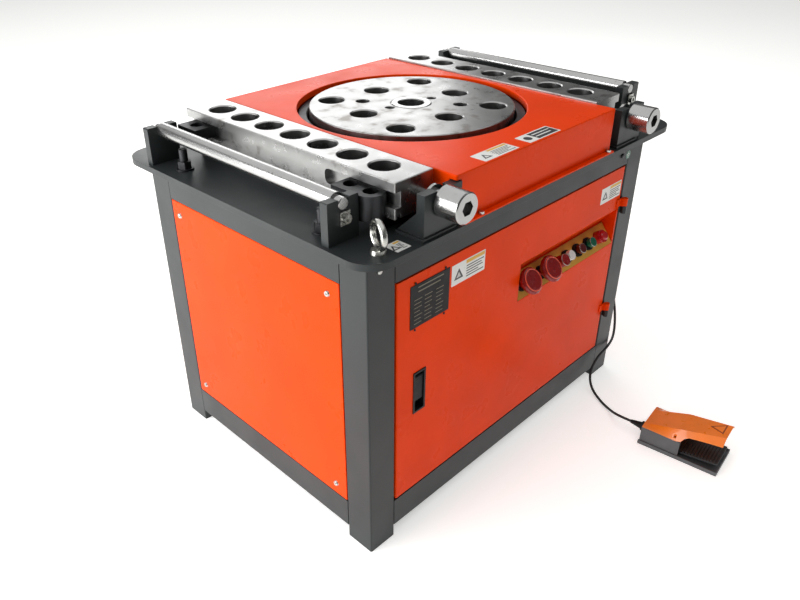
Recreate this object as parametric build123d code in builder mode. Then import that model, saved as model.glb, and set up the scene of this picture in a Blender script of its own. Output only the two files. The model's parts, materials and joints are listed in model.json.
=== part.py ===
from build123d import *
from math import atan2, cos, degrees, pi, radians, sin, tan
import os

os.makedirs("parts", exist_ok=True)

# Rebar bender, millimetres. +X runs to the right along the door side, +Y to the back and +Z up.
# The door faces -Y. Pieces are drawn from the axis of the bending disc at floor level. Each one
# is moved as it is written, so that the origin is the middle of the whole object's footprint.

# ---- driving dimensions -------------------------------------------------------------------
HALF_W = 412.0                      # half width of the cabinet frame
FRONT, BACK = -293.0, 307.0         # front and back faces of the frame
LEG = 61.0                          # square leg tube
TUBE_WALL = 4.0
UNDER, TOP = 598.0, 610.0           # underside and top of the table plate
LOW_RAIL = (26.0, 87.0)
HIGH_RAIL = (549.0, UNDER)
RAIL_DEPTH = 40.0
SHEET = 3.0                         # panel sheet

TABLE_X = (-430.0, 494.0)
TABLE_Y = (-318.0, 380.0)
TABLE_CORNER = 50.0
TOE_Y = -660.0                      # front of the pedal
TO_ORIGIN = Location((-(TABLE_X[0] + TABLE_X[1]) / 2, -(TOE_Y + TABLE_Y[1]) / 2, 0))

DISC_R, DISC_TOP, DISC_T = 200.0, 695.5, 45.0
DISC_PHASE = 36.1                   # degrees, first outer pin hole
OUTER_PCR, INNER_PCR = 158.7, 113.5  # radii of the two rings of pin holes
PIN_R, PIN_CHAMFER = 25.0, 2.0
DRIVE_HOLE_R, DRIVE_PCR = 13.5, 96.0
DOWEL_HOLE_R, DOWEL_PCR = 9.0, 52.0
BUSH_R, BUSH_BORE_R = 39.5, 25.5

BAR_X, BAR_W = 281.8, 86.0
BAR_Y = (-266.0, 293.0)
BAR_Z = (637.0, 697.4)
BAR_HOLES, BAR_PITCH, BAR_MID_Y = 7, 72.4, 15.2
SLOT_Z, SLOT_DEPTH = (655.0, 681.0), 13.0
BAR_TRAVEL = 10.0

BED_X, BED_Y = (-232.0, 237.8), (-308.0, 298.0)
BED_TOP, BED_T = 694.0, 5.0
BED_HOLE_R = 223.5

SCREW_X = {"left": -265.0, "right": 302.0}
SCREW_Z, SCREW_R = 665.0, 8.0
BRACKET_Y = (-310.5, -294.5)
BRACKET_HALF, BRACKET_TOP = 43.0, 684.0

ROLLER_X = {"left": -389.0, "right": 455.0}
ROLLER_Z, ROLLER_R, JOURNAL_R = 672.0, 14.0, 10.0
PLATE_FRONT, PLATE_BACK = (-223.0, -207.0), (277.0, 293.0)
PLATE_TOP = 681.0

DOOR_X, DOOR_Z, DOOR_DEPTH = (-347.0, 347.0), (90.5, 545.5), 20.0
DOOR_SHEET = 2.0
HINGE = (357.0, FRONT - 7.0)        # axis of the door hinge in plan
HINGE_Z = (190.0, 454.0)
RECESS_X, RECESS_Z = (-10.0, 340.0), (367.0, 450.0)
PANEL_TOP_Y, PANEL_TOP_Z = -261.0, 409.0   # back edge of the sloping control plate

WHEEL_Z, WHEEL_R, TEETH = (400.0, 440.0), 112.0, 60
WORM_Y, WORM_Z, WORM_R = 140.0, 420.0, 27.0
MOTOR_Y, MOTOR_Z = 20.0, 155.0
BELT_X = (224.0, 240.0)             # planes of the two belts
DRIVEN_R, DRIVER_R, GROOVE = 90.0, 40.0, 8.0

RUN = 0.05                          # radial clearance of a shaft in its bearing

leg_centres = [(sx * (HALF_W - LEG / 2), y) for sx in (-1, 1)
               for y in (FRONT + LEG / 2, BACK - LEG / 2)]


def block(x, y, z, mode=Mode.ADD):
    """A box in the part being built, from its low and high limit on each axis."""
    with Locations(((x[0] + x[1]) / 2, (y[0] + y[1]) / 2, (z[0] + z[1]) / 2)):
        Box(abs(x[1] - x[0]), abs(y[1] - y[0]), abs(z[1] - z[0]), mode=mode)


def rod(plane, radius, length, mode=Mode.ADD):
    """A cylinder in the part being built, standing on the plane."""
    with Locations(plane):
        Cylinder(radius, length, align=(Align.CENTER, Align.CENTER, Align.MIN), mode=mode)


def along_x(x, y, z):
    return Plane(origin=(x, y, z), x_dir=(0, 1, 0), z_dir=(1, 0, 0))


def along_y(x, y, z):
    return Plane(origin=(x, y, z), x_dir=(1, 0, 0), z_dir=(0, 1, 0))


def mirrored(limits):
    return (-limits[1], -limits[0])


# ---- cabinet frame ------------------------------------------------------------------------
FOOT_T = 6.0

with BuildPart() as frame_legs:
    with BuildSketch():
        with Locations(*leg_centres):
            RectangleRounded(LEG, LEG, 3)
            Rectangle(LEG - 2 * TUBE_WALL, LEG - 2 * TUBE_WALL, mode=Mode.SUBTRACT)
    extrude(amount=UNDER)
    with BuildSketch():
        with Locations(*leg_centres):
            Rectangle(LEG - 2 * TUBE_WALL, LEG - 2 * TUBE_WALL)
    extrude(amount=FOOT_T)
frame_legs.part.label = "frame_legs"
export_step(frame_legs.part.moved(TO_ORIGIN), "parts/frame_legs.step")

span_x = (-HALF_W + LEG, HALF_W - LEG)
span_y = (FRONT + LEG, BACK - LEG)
side_rail, front_rail, back_rail = (-HALF_W, -HALF_W + RAIL_DEPTH), (FRONT, FRONT + RAIL_DEPTH), \
    (BACK - RAIL_DEPTH, BACK)
RAIL_WALL = 3.0
TAB, TAB_T, TAB_RISE = 42.0, 3.0, 26.0
SCREW_ROWS = (113.0, 520.0)         # heights of the panel screws
SIDE_SCREWS = (-203.0, 221.0)
BACK_SCREWS = (-322.0, 322.0)
SHANK_R = 2.5

with BuildPart() as frame_rails:
    for z in (LOW_RAIL, HIGH_RAIL):
        inner_z = (z[0] + RAIL_WALL, z[1] - RAIL_WALL)
        for x in (side_rail, mirrored(side_rail)):
            block(x, span_y, z)
            block((x[0] + RAIL_WALL, x[1] - RAIL_WALL), span_y, inner_z, Mode.SUBTRACT)
        for y in (front_rail, back_rail):
            block(span_x, y, z)
            block(span_x, (y[0] + RAIL_WALL, y[1] - RAIL_WALL), inner_z, Mode.SUBTRACT)
    for row in SCREW_ROWS:
        tab_z = (row - TAB_RISE / 2, row + TAB_RISE / 2)
        tab_x = (-HALF_W + SHEET, -HALF_W + SHEET + TAB_T)
        for x in (tab_x, mirrored(tab_x)):
            block(x, (span_y[0], span_y[0] + TAB), tab_z)
            block(x, (span_y[1] - TAB, span_y[1]), tab_z)
        tab_y = (BACK - SHEET - TAB_T, BACK - SHEET)
        block((span_x[0], span_x[0] + TAB), tab_y, tab_z)
        block((span_x[1] - TAB, span_x[1]), tab_y, tab_z)
        for y in SIDE_SCREWS:
            rod(along_x(-HALF_W, y, row), SHANK_R, 2 * HALF_W, Mode.SUBTRACT)
        for x in BACK_SCREWS:
            rod(along_y(x, BACK - 10, row), SHANK_R, 10, Mode.SUBTRACT)
frame_rails.part.label = "frame_rails"
export_step(frame_rails.part.moved(TO_ORIGIN), "parts/frame_rails.step")

# ---- table plate --------------------------------------------------------------------------
NECK_R = 100.0                      # neck of the gearbox, which comes up through the table
BED_BOLT_R, BED_HEAD_R, BED_HEAD_H = 3.0, 5.0, 4.5
BED_FLANGE_W, BED_FLANGE_TOP = 10.0, 613.0
bed_bolts = [(x, y) for x in (-172.0, 222.0)
             for y in (BED_Y[0] - BED_FLANGE_W / 2, BED_Y[1] + BED_FLANGE_W / 2)]
STUD_R = 8.0
table_stud_places = [(x, y) for x in ROLLER_X.values() for y in (-172.0, 217.0)]
EYE_XY, EYE_SHANK_R = (-380.0, -286.0), 6.0

with BuildPart() as table_plate:
    with BuildSketch(Plane.XY.offset(UNDER)):
        with Locations(((TABLE_X[0] + TABLE_X[1]) / 2, (TABLE_Y[0] + TABLE_Y[1]) / 2)):
            RectangleRounded(TABLE_X[1] - TABLE_X[0], TABLE_Y[1] - TABLE_Y[0], TABLE_CORNER)
        Circle(NECK_R + 1, mode=Mode.SUBTRACT)
        with Locations(*bed_bolts):
            Circle(BED_BOLT_R, mode=Mode.SUBTRACT)
        with Locations(*table_stud_places):
            Circle(STUD_R, mode=Mode.SUBTRACT)
        with Locations(EYE_XY):
            Circle(EYE_SHANK_R, mode=Mode.SUBTRACT)
    extrude(amount=TOP - UNDER)
table_plate.part.label = "table_plate"
export_step(table_plate.part.moved(TO_ORIGIN), "parts/table_plate.step")

# Studs threaded into the table near the ends of the rollers, each with a washer and a nut.
STUD_TOP, NUT_H, NUT_R, WASHER_R, WASHER_H = 650.0, 14.0, 13.8, 17.0, 3.0

with BuildPart() as table_studs:
    for x, y in table_stud_places:
        rod(Plane(origin=(x, y, UNDER)), STUD_R, STUD_TOP - UNDER)
        rod(Plane(origin=(x, y, TOP)), WASHER_R, WASHER_H)
    with BuildSketch(Plane.XY.offset(TOP + WASHER_H)):
        with Locations(*table_stud_places):
            RegularPolygon(NUT_R, 6)
    extrude(amount=NUT_H)
    chamfer(table_studs.edges().group_by(Axis.Z)[-1], 1.2)
table_studs.part.label = "table_studs"
export_step(table_studs.part.moved(TO_ORIGIN), "parts/table_studs.step")

# Lifting eye, M12: threaded shank, collar and ring.
EYE_RING_R, EYE_WIRE_R, EYE_COLLAR_R, EYE_COLLAR_H = 19.5, 5.5, 13.0, 7.0
EYE_TURN = -20.0                    # degrees that the plane of the ring is turned from YZ

with BuildPart() as eye_bolt:
    rod(Plane(origin=(*EYE_XY, UNDER)), EYE_SHANK_R, TOP - UNDER)
    with BuildSketch(Plane(origin=(*EYE_XY, TOP))):
        Circle(EYE_COLLAR_R)
    extrude(amount=EYE_COLLAR_H, taper=12)
    eye_z = TOP + EYE_COLLAR_H + EYE_RING_R + EYE_WIRE_R - 3
    ring_dir = (-cos(radians(EYE_TURN)), -sin(radians(EYE_TURN)), 0)
    with Locations(Plane(origin=(*EYE_XY, eye_z), z_dir=ring_dir)):
        Torus(EYE_RING_R, EYE_WIRE_R)
eye_bolt.part.label = "eye_bolt"
export_step(eye_bolt.part.moved(TO_ORIGIN), "parts/eye_bolt.step")

# ---- panels -------------------------------------------------------------------------------
PANEL_GAP, SCREW_HOLE_R = 1.5, 2.8
panel_y = (span_y[0] + PANEL_GAP, span_y[1] - PANEL_GAP)
panel_x = (span_x[0] + PANEL_GAP, span_x[1] - PANEL_GAP)
panel_z = (LOW_RAIL[1] + PANEL_GAP, HIGH_RAIL[0] - PANEL_GAP)
GLAND_YZ, GLAND_HOLE_R = (-205.0, 232.0), 8.0
MAINS_XZ = (-250.0, 150.0)
LOUVRE_W, LOUVRE_H, LOUVRE_PITCH, LOUVRE_ROWS = 120.0, 7.0, 22.0, 6

with BuildPart() as left_panel:
    block((-HALF_W, -HALF_W + SHEET), panel_y, panel_z)
    for row in SCREW_ROWS:
        for y in SIDE_SCREWS:
            rod(along_x(-HALF_W - 1, y, row), SCREW_HOLE_R, SHEET + 2, Mode.SUBTRACT)
    chamfer(left_panel.faces().sort_by(Axis.X)[0].outer_wire().edges(), 0.8)
left_panel.part.label = "left_panel"
export_step(left_panel.part.moved(TO_ORIGIN), "parts/left_panel.step")

with BuildPart() as right_panel:
    block((HALF_W - SHEET, HALF_W), panel_y, panel_z)
    for row in SCREW_ROWS:
        for y in SIDE_SCREWS:
            rod(along_x(HALF_W - SHEET - 1, y, row), SCREW_HOLE_R, SHEET + 2, Mode.SUBTRACT)
    rod(along_x(HALF_W - SHEET - 1, *GLAND_YZ), GLAND_HOLE_R, SHEET + 2, Mode.SUBTRACT)
    with BuildSketch(along_x(HALF_W - SHEET - 1, 60, 250)):
        with GridLocations(0, LOUVRE_PITCH, 1, LOUVRE_ROWS):
            SlotOverall(LOUVRE_W, LOUVRE_H)
    extrude(amount=SHEET + 2, mode=Mode.SUBTRACT)
    chamfer(right_panel.faces().sort_by(Axis.X)[-1].outer_wire().edges(), 0.8)
right_panel.part.label = "right_panel"
export_step(right_panel.part.moved(TO_ORIGIN), "parts/right_panel.step")

with BuildPart() as back_panel:
    block(panel_x, (BACK - SHEET, BACK), panel_z)
    for row in SCREW_ROWS:
        for x in BACK_SCREWS:
            rod(along_y(x, BACK - SHEET - 1, row), SCREW_HOLE_R, SHEET + 2, Mode.SUBTRACT)
    rod(along_y(MAINS_XZ[0], BACK - SHEET - 1, MAINS_XZ[1]), GLAND_HOLE_R, SHEET + 2,
        Mode.SUBTRACT)
    with BuildSketch(along_y(0, BACK - SHEET - 1, 330)):
        with GridLocations(1.6 * LOUVRE_W, LOUVRE_PITCH, 2, LOUVRE_ROWS):
            SlotOverall(LOUVRE_W, LOUVRE_H)
    extrude(amount=SHEET + 2, mode=Mode.SUBTRACT)
    chamfer(back_panel.faces().sort_by(Axis.Y)[-1].outer_wire().edges(), 0.8)
back_panel.part.label = "back_panel"
export_step(back_panel.part.moved(TO_ORIGIN), "parts/back_panel.step")

# Pan-head screws of the three panels: shank first, then the domed head.
HEAD_R, HEAD_H, SHANK = 6.0, 2.8, 8.0

with BuildPart() as panel_screws:
    heads = [Plane(origin=(s * HALF_W, y, row), z_dir=(s, 0, 0))
             for s in (-1, 1) for y in SIDE_SCREWS for row in SCREW_ROWS]
    heads += [Plane(origin=(x, BACK, row), z_dir=(0, 1, 0))
              for x in BACK_SCREWS for row in SCREW_ROWS]
    for head in heads:
        rod(head.offset(-SHANK), SHANK_R, SHANK)
        with BuildSketch(head):
            Circle(HEAD_R)
        extrude(amount=HEAD_H, taper=28)
        with BuildSketch(head.offset(HEAD_H - 1.2)):
            Rectangle(5.2, 1.1)
            Rectangle(1.1, 5.2)
        extrude(amount=2, mode=Mode.SUBTRACT)
panel_screws.part.label = "panel_screws"
export_step(panel_screws.part.moved(TO_ORIGIN), "parts/panel_screws.step")

PAN_Z = (44.0, 47.0)

with BuildPart() as floor_pan:
    block((side_rail[1], -side_rail[1]), (front_rail[1], back_rail[0]), PAN_Z)
    with BuildSketch(Plane.XY.offset(PAN_Z[0])):
        with GridLocations(480, 300, 2, 2):
            Circle(20)
        with Locations(*leg_centres):
            Rectangle(LEG + 1, LEG + 1)
    extrude(amount=SHEET, mode=Mode.SUBTRACT)
floor_pan.part.label = "floor_pan"
export_step(floor_pan.part.moved(TO_ORIGIN), "parts/floor_pan.step")

# ---- bed between the socket bars ----------------------------------------------------------
BED_EDGE_R = 4.0
bed_mid_x, bed_len_x = (BED_X[0] + BED_X[1]) / 2, BED_X[1] - BED_X[0]
bed_mid_y, bed_len_y = (BED_Y[0] + BED_Y[1]) / 2, BED_Y[1] - BED_Y[0]

with BuildPart() as bed_cover:
    with BuildSketch(Plane.XY.offset(TOP)):
        with Locations((bed_mid_x, bed_mid_y)):
            Rectangle(bed_len_x, bed_len_y)
    extrude(amount=BED_TOP - TOP)
    fillet(bed_cover.edges().filter_by(Axis.Z), BED_EDGE_R)
    fillet(bed_cover.edges().group_by(Axis.Z)[-1], 2.0)
    block((BED_X[0] + BED_T, BED_X[1] - BED_T), (BED_Y[0] + BED_T, BED_Y[1] - BED_T),
          (TOP, BED_TOP - BED_T), Mode.SUBTRACT)
    flange_x = (BED_X[0] + 14, BED_X[1] - 2)
    block(flange_x, (BED_Y[0] - BED_FLANGE_W, BED_Y[0] + BED_T), (TOP, BED_FLANGE_TOP))
    block(flange_x, (BED_Y[1] - BED_T, BED_Y[1] + BED_FLANGE_W), (TOP, BED_FLANGE_TOP))
    with BuildSketch(Plane.XY.offset(BED_TOP - 12)):
        Circle(BED_HOLE_R + BED_T)
    extrude(amount=12 - BED_T)
    rod(Plane.XY.offset(TOP + 10), BED_HOLE_R, BED_TOP, Mode.SUBTRACT)
    fillet(bed_cover.edges().filter_by(GeomType.CIRCLE).filter_by(
        lambda e: abs(e.radius - BED_HOLE_R) < 0.01).group_by(Axis.Z)[-1], 1.5)
    # Notch in the front left corner for the left screw bracket.
    block((BED_X[0] - 1, SCREW_X["left"] + BRACKET_HALF + 1), (BED_Y[0] - 12, BRACKET_Y[1] + 1),
          (TOP, BRACKET_TOP + 1.5), Mode.SUBTRACT)
    with BuildSketch(Plane.XY.offset(TOP)):
        with Locations(*bed_bolts):
            Circle(BED_BOLT_R)
    extrude(amount=BED_FLANGE_TOP - TOP, mode=Mode.SUBTRACT)
bed_cover.part.label = "bed_cover"
export_step(bed_cover.part.moved(TO_ORIGIN), "parts/bed_cover.step")

with BuildPart() as bed_cover_bolts:
    with BuildSketch(Plane.XY.offset(UNDER)):
        with Locations(*bed_bolts):
            Circle(BED_BOLT_R)
    extrude(amount=BED_FLANGE_TOP - UNDER)
    with BuildSketch(Plane.XY.offset(BED_FLANGE_TOP)):
        with Locations(*bed_bolts):
            RegularPolygon(BED_HEAD_R, 6)
    extrude(amount=BED_HEAD_H)
bed_cover_bolts.part.label = "bed_cover_bolts"
export_step(bed_cover_bolts.part.moved(TO_ORIGIN), "parts/bed_cover_bolts.step")

GUARD_R, GUARD_Z = (204.0, 222.5), (634.0, 681.0)

with BuildPart() as guard_ring:
    with BuildSketch(Plane.XY.offset(GUARD_Z[0])):
        Circle(GUARD_R[1])
        Circle(GUARD_R[0], mode=Mode.SUBTRACT)
    extrude(amount=GUARD_Z[1] - GUARD_Z[0])
    with BuildSketch(Plane.XY.offset(TOP)):
        with PolarLocations((GUARD_R[0] + GUARD_R[1]) / 2, 6, start_angle=15):
            Circle(7)
    extrude(amount=GUARD_Z[0] - TOP)
    chamfer(guard_ring.edges().group_by(Axis.Z)[-1], 2.0)
guard_ring.part.label = "guard_ring"
export_step(guard_ring.part.moved(TO_ORIGIN), "parts/guard_ring.step")

# ---- bending disc, bush, shaft and worm wheel ---------------------------------------------
disc_bottom = DISC_TOP - DISC_T
SHAFT_R, SHAFT_END_R, SHAFT_FLANGE_R, SHAFT_FLANGE_T = 38.0, 30.0, 70.0, 14.0
SHAFT_LOW, SHAFT_STEP = 351.0, 392.0


def ring_of_holes(radius, count, start, hole_r, chamfer_width):
    """Holes through the disc on one pitch circle, each with a chamfered mouth."""
    with BuildSketch(Plane.XY.offset(disc_bottom)) as holes:
        with PolarLocations(radius, count, start_angle=start):
            Circle(hole_r)
    extrude(holes.sketch, amount=DISC_T, mode=Mode.SUBTRACT)
    with BuildSketch(Plane.XY.offset(DISC_TOP)) as mouths:
        with PolarLocations(radius, count, start_angle=start):
            Circle(hole_r + chamfer_width)
    extrude(mouths.sketch, amount=-chamfer_width, taper=45, mode=Mode.SUBTRACT)


with BuildPart() as bending_disc:
    with BuildSketch(Plane.XY.offset(disc_bottom)):
        Circle(DISC_R)
        Circle(BUSH_R, mode=Mode.SUBTRACT)
    extrude(amount=DISC_T)
    chamfer(bending_disc.edges().filter_by(GeomType.CIRCLE).group_by(Axis.Z)[-1], 1.5)
    ring_of_holes(OUTER_PCR, 4, DISC_PHASE, PIN_R, PIN_CHAMFER)
    ring_of_holes(INNER_PCR, 4, DISC_PHASE + 45, PIN_R, PIN_CHAMFER)
    ring_of_holes(DRIVE_PCR, 2, DISC_PHASE + 90, DRIVE_HOLE_R, 1.0)
    ring_of_holes(DOWEL_PCR, 2, DISC_PHASE + 135, DOWEL_HOLE_R, 1.0)
bending_disc.part.label = "bending_disc"
export_step(bending_disc.part.moved(TO_ORIGIN), "parts/bending_disc.step")

with BuildPart() as centre_bush:
    with BuildSketch(Plane.XY.offset(disc_bottom)):
        Circle(BUSH_R)
        Circle(BUSH_BORE_R, mode=Mode.SUBTRACT)
    extrude(amount=DISC_T + 1.0)
    chamfer(centre_bush.edges().group_by(Axis.Z)[-1], 1.5)
centre_bush.part.label = "centre_bush"
export_step(centre_bush.part.moved(TO_ORIGIN), "parts/centre_bush.step")

with BuildPart() as main_shaft:
    rod(Plane.XY.offset(SHAFT_LOW), SHAFT_END_R, SHAFT_STEP - SHAFT_LOW)
    rod(Plane.XY.offset(SHAFT_STEP), SHAFT_R, disc_bottom - SHAFT_STEP)
    rod(Plane.XY.offset(disc_bottom - SHAFT_FLANGE_T), SHAFT_FLANGE_R, SHAFT_FLANGE_T)
    chamfer(main_shaft.edges().group_by(Axis.Z)[0], 2.0)
main_shaft.part.label = "main_shaft"
export_step(main_shaft.part.moved(TO_ORIGIN), "parts/main_shaft.step")

HUB_R, HUB_Z, TOOTH_GAP_W, TOOTH_H = 58.0, (SHAFT_STEP + 2, 448.0), 5.6, 7.0

with BuildPart() as worm_wheel:
    with BuildSketch(Plane.XY.offset(WHEEL_Z[0])):
        Circle(WHEEL_R)
        with PolarLocations(WHEEL_R - TOOTH_H / 2, TEETH):
            Rectangle(TOOTH_H + 1, TOOTH_GAP_W, mode=Mode.SUBTRACT)
        with PolarLocations(78, 6):
            Circle(13, mode=Mode.SUBTRACT)
    extrude(amount=WHEEL_Z[1] - WHEEL_Z[0])
    rod(Plane.XY.offset(HUB_Z[0]), HUB_R, HUB_Z[1] - HUB_Z[0])
    rod(Plane.XY.offset(HUB_Z[0]), SHAFT_R, HUB_Z[1] - HUB_Z[0], Mode.SUBTRACT)
worm_wheel.part.label = "worm_wheel"
export_step(worm_wheel.part.moved(TO_ORIGIN), "parts/worm_wheel.step")

# ---- gearbox ------------------------------------------------------------------------------
CASE_X, CASE_Y, CASE_Z = (-160.0, 160.0), (-130.0, 182.0), (355.0, 500.0)
CASE_T, LID_T, NECK_TOP = 10.0, 14.0, 632.0
LOW_BOSS = (340.0, 385.0)
UPPER_BEARING_R, UPPER_BEARING_Z = 66.0, (590.0, 626.0)
LOWER_BEARING_R, LOWER_BEARING_Z = 50.0, (352.0, 380.0)
WORM_SHAFT_R, WORM_BEARING_R, WORM_BOSS_R, WORM_BOSS_X = 14.0, 26.0, 34.0, 172.0

with BuildPart() as gear_case:
    block(CASE_X, CASE_Y, CASE_Z)
    fillet(gear_case.edges().filter_by(Axis.Z), 12)
    block((CASE_X[0] + CASE_T, CASE_X[1] - CASE_T), (CASE_Y[0] + CASE_T, CASE_Y[1] - CASE_T),
          (CASE_Z[0] + CASE_T, CASE_Z[1]), Mode.SUBTRACT)
    rod(Plane.XY.offset(LOW_BOSS[0]), LOWER_BEARING_R + 12, LOW_BOSS[1] - LOW_BOSS[0])
    rod(Plane.XY.offset(LOWER_BEARING_Z[0] - 4), LOWER_BEARING_R, LOW_BOSS[1], Mode.SUBTRACT)
    for side in (-1, 1):
        boss = Plane(origin=(side * (CASE_X[1] - CASE_T), WORM_Y, WORM_Z), z_dir=(side, 0, 0))
        rod(boss, WORM_BOSS_R, WORM_BOSS_X - CASE_X[1] + CASE_T)
        rod(boss, WORM_BEARING_R, WORM_BOSS_X - CASE_X[1] + CASE_T, Mode.SUBTRACT)
gear_case.part.label = "gear_case"
export_step(gear_case.part.moved(TO_ORIGIN), "parts/gear_case.step")

with BuildPart() as upper_housing:
    block(CASE_X, CASE_Y, (CASE_Z[1], CASE_Z[1] + LID_T))
    fillet(upper_housing.edges().filter_by(Axis.Z), 12)
    rod(Plane.XY.offset(CASE_Z[1]), NECK_R, NECK_TOP - CASE_Z[1])
    rod(Plane.XY.offset(UNDER - LID_T), NECK_R + 50, LID_T)
    with BuildSketch(Plane.XY.offset(CASE_Z[1] + LID_T)):
        with PolarLocations(NECK_R + 20, 6):
            Rectangle(44, 12)
    extrude(amount=UNDER - CASE_Z[1] - 2 * LID_T)
    rod(Plane.XY.offset(CASE_Z[1]), SHAFT_R + 14, NECK_TOP, Mode.SUBTRACT)
    rod(Plane.XY.offset(UPPER_BEARING_Z[0] - 2), UPPER_BEARING_R, NECK_TOP, Mode.SUBTRACT)
upper_housing.part.label = "upper_housing"
export_step(upper_housing.part.moved(TO_ORIGIN), "parts/upper_housing.step")

bearing_list = [
    (Plane.XY.offset(UPPER_BEARING_Z[0]), UPPER_BEARING_R, SHAFT_R, 36.0),
    (Plane.XY.offset(LOWER_BEARING_Z[0]), LOWER_BEARING_R, SHAFT_END_R, 28.0),
    (along_x(-168.0, WORM_Y, WORM_Z), WORM_BEARING_R, WORM_SHAFT_R, 15.0),
    (along_x(153.0, WORM_Y, WORM_Z), WORM_BEARING_R, WORM_SHAFT_R, 15.0),
]

with BuildPart() as bearings:
    for seat, outer_r, shaft_r, width in bearing_list:
        track_r = (outer_r + shaft_r) / 2
        rod(seat, outer_r, width)
        rod(seat, shaft_r + RUN, width, Mode.SUBTRACT)
        for face in (seat, seat.offset(width - 2)):
            with BuildSketch(face):
                Circle(track_r + 2.5)
                Circle(track_r - 2.5, mode=Mode.SUBTRACT)
            extrude(amount=2, mode=Mode.SUBTRACT)
bearings.part.label = "bearings"
export_step(bearings.part.moved(TO_ORIGIN), "parts/bearings.step")

WORM_X = (-160.0, 262.0)            # ends of the worm shaft
THREAD_X, THREAD_PITCH, THREAD_ROOT = (-54.0, 54.0), 12.0, 20.0
PULLEY_X = (BELT_X[0] - 10, BELT_X[1] + 10)

with BuildPart() as worm_shaft:
    rod(along_x(WORM_X[0], WORM_Y, WORM_Z), WORM_SHAFT_R, WORM_X[1] - WORM_X[0])
    rod(along_x(THREAD_X[0] - 12, WORM_Y, WORM_Z), THREAD_ROOT, THREAD_X[1] - THREAD_X[0] + 24)
    threads = int((THREAD_X[1] - THREAD_X[0]) / THREAD_PITCH)
    for turn in range(threads + 1):
        x = THREAD_X[0] + turn * THREAD_PITCH
        for flank, lean in ((-3.0, 0), (0.0, 1)):
            rod(along_x(x + flank, WORM_Y, WORM_Z), WORM_R - 1.5 * lean, 3.0)
worm_shaft.part.label = "worm_shaft"
export_step(worm_shaft.part.moved(TO_ORIGIN), "parts/worm_shaft.step")


def pulley(y, z, outer_r, bore_r):
    """A pulley with one groove for each belt."""
    rod(along_x(PULLEY_X[0], y, z), outer_r, PULLEY_X[1] - PULLEY_X[0])
    rod(along_x(PULLEY_X[0], y, z), bore_r, PULLEY_X[1] - PULLEY_X[0], Mode.SUBTRACT)
    for x in BELT_X:
        with BuildSketch(along_x(x - 5.5, y, z)) as groove:
            Circle(outer_r + 1)
            Circle(outer_r - GROOVE, mode=Mode.SUBTRACT)
        extrude(groove.sketch, amount=11, mode=Mode.SUBTRACT)


with BuildPart() as driven_pulley:
    pulley(WORM_Y, WORM_Z, DRIVEN_R, WORM_SHAFT_R)
    with BuildSketch(along_x(PULLEY_X[0], WORM_Y, WORM_Z)):
        with PolarLocations(50, 5):
            Circle(16)
    extrude(amount=PULLEY_X[1] - PULLEY_X[0], mode=Mode.SUBTRACT)
driven_pulley.part.label = "driven_pulley"
export_step(driven_pulley.part.moved(TO_ORIGIN), "parts/driven_pulley.step")

# ---- motor and belts ----------------------------------------------------------------------
MOTOR_X, MOTOR_R, FIN_H = (-60.0, 150.0), 76.0, 9.0
MOTOR_SHAFT_R, ROTOR_R, ROTOR_X = 14.0, 50.0, (-20.0, 110.0)
COWL_X, FAN_R, FAN_X = (-112.0, -60.0), 64.0, (-96.0, -80.0)
FEET_Z = (61.0, 92.0)
CAVITY_R, END_T = 54.0, 14.0

with BuildPart() as motor_body:
    with BuildSketch(along_x(MOTOR_X[0], MOTOR_Y, MOTOR_Z)):
        Circle(MOTOR_R - FIN_H)
        with PolarLocations(MOTOR_R - FIN_H / 2 - 1, 32):
            Rectangle(FIN_H + 2, 3)
    extrude(amount=MOTOR_X[1] - MOTOR_X[0])
    rod(along_x(MOTOR_X[0], MOTOR_Y, MOTOR_Z), MOTOR_R, END_T)
    rod(along_x(MOTOR_X[1] - END_T, MOTOR_Y, MOTOR_Z), MOTOR_R, END_T)
    block((MOTOR_X[0] + 20, MOTOR_X[1] - 20), (MOTOR_Y - 70, MOTOR_Y + 70), (FEET_Z[0], 73))
    block((MOTOR_X[0] + 40, MOTOR_X[1] - 40), (MOTOR_Y - 52, MOTOR_Y + 52), (73, MOTOR_Z - 40))
    block((20, 110), (MOTOR_Y - 45, MOTOR_Y + 45), (MOTOR_Z + 60, MOTOR_Z + 112))
    rod(along_x(COWL_X[0], MOTOR_Y, MOTOR_Z), MOTOR_R - 2, COWL_X[1] - COWL_X[0])
    rod(along_x(COWL_X[0] + 4, MOTOR_Y, MOTOR_Z), MOTOR_R - 5, COWL_X[1] - COWL_X[0] - 4,
        Mode.SUBTRACT)
    rod(along_x(MOTOR_X[0] + END_T, MOTOR_Y, MOTOR_Z), CAVITY_R,
        MOTOR_X[1] - MOTOR_X[0] - 2 * END_T, Mode.SUBTRACT)
    rod(along_x(COWL_X[1] - 2, MOTOR_Y, MOTOR_Z), MOTOR_SHAFT_R + RUN, 260, Mode.SUBTRACT)
    with BuildSketch(along_x(COWL_X[0], MOTOR_Y, MOTOR_Z)):
        for ring_r, count in ((24, 8), (44, 14), (62, 20)):
            with PolarLocations(ring_r, count):
                Circle(4)
    extrude(amount=4, mode=Mode.SUBTRACT)
motor_body.part.label = "motor_body"
export_step(motor_body.part.moved(TO_ORIGIN), "parts/motor_body.step")

with BuildPart() as motor_mount:
    block((MOTOR_X[0], MOTOR_X[1]), (MOTOR_Y - 85, MOTOR_Y + 85), (53, FEET_Z[0]))
    for x in (MOTOR_X[0] + 10, MOTOR_X[1] - 40):
        block((x, x + 30), (MOTOR_Y - 85, MOTOR_Y + 85), (PAN_Z[1], 53))
    with BuildSketch(Plane.XY.offset(53)):
        with Locations((45, MOTOR_Y)):
            with GridLocations(150, 150, 2, 2):
                SlotOverall(26, 11)
    extrude(amount=8, mode=Mode.SUBTRACT)
motor_mount.part.label = "motor_mount"
export_step(motor_mount.part.moved(TO_ORIGIN), "parts/motor_mount.step")

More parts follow.
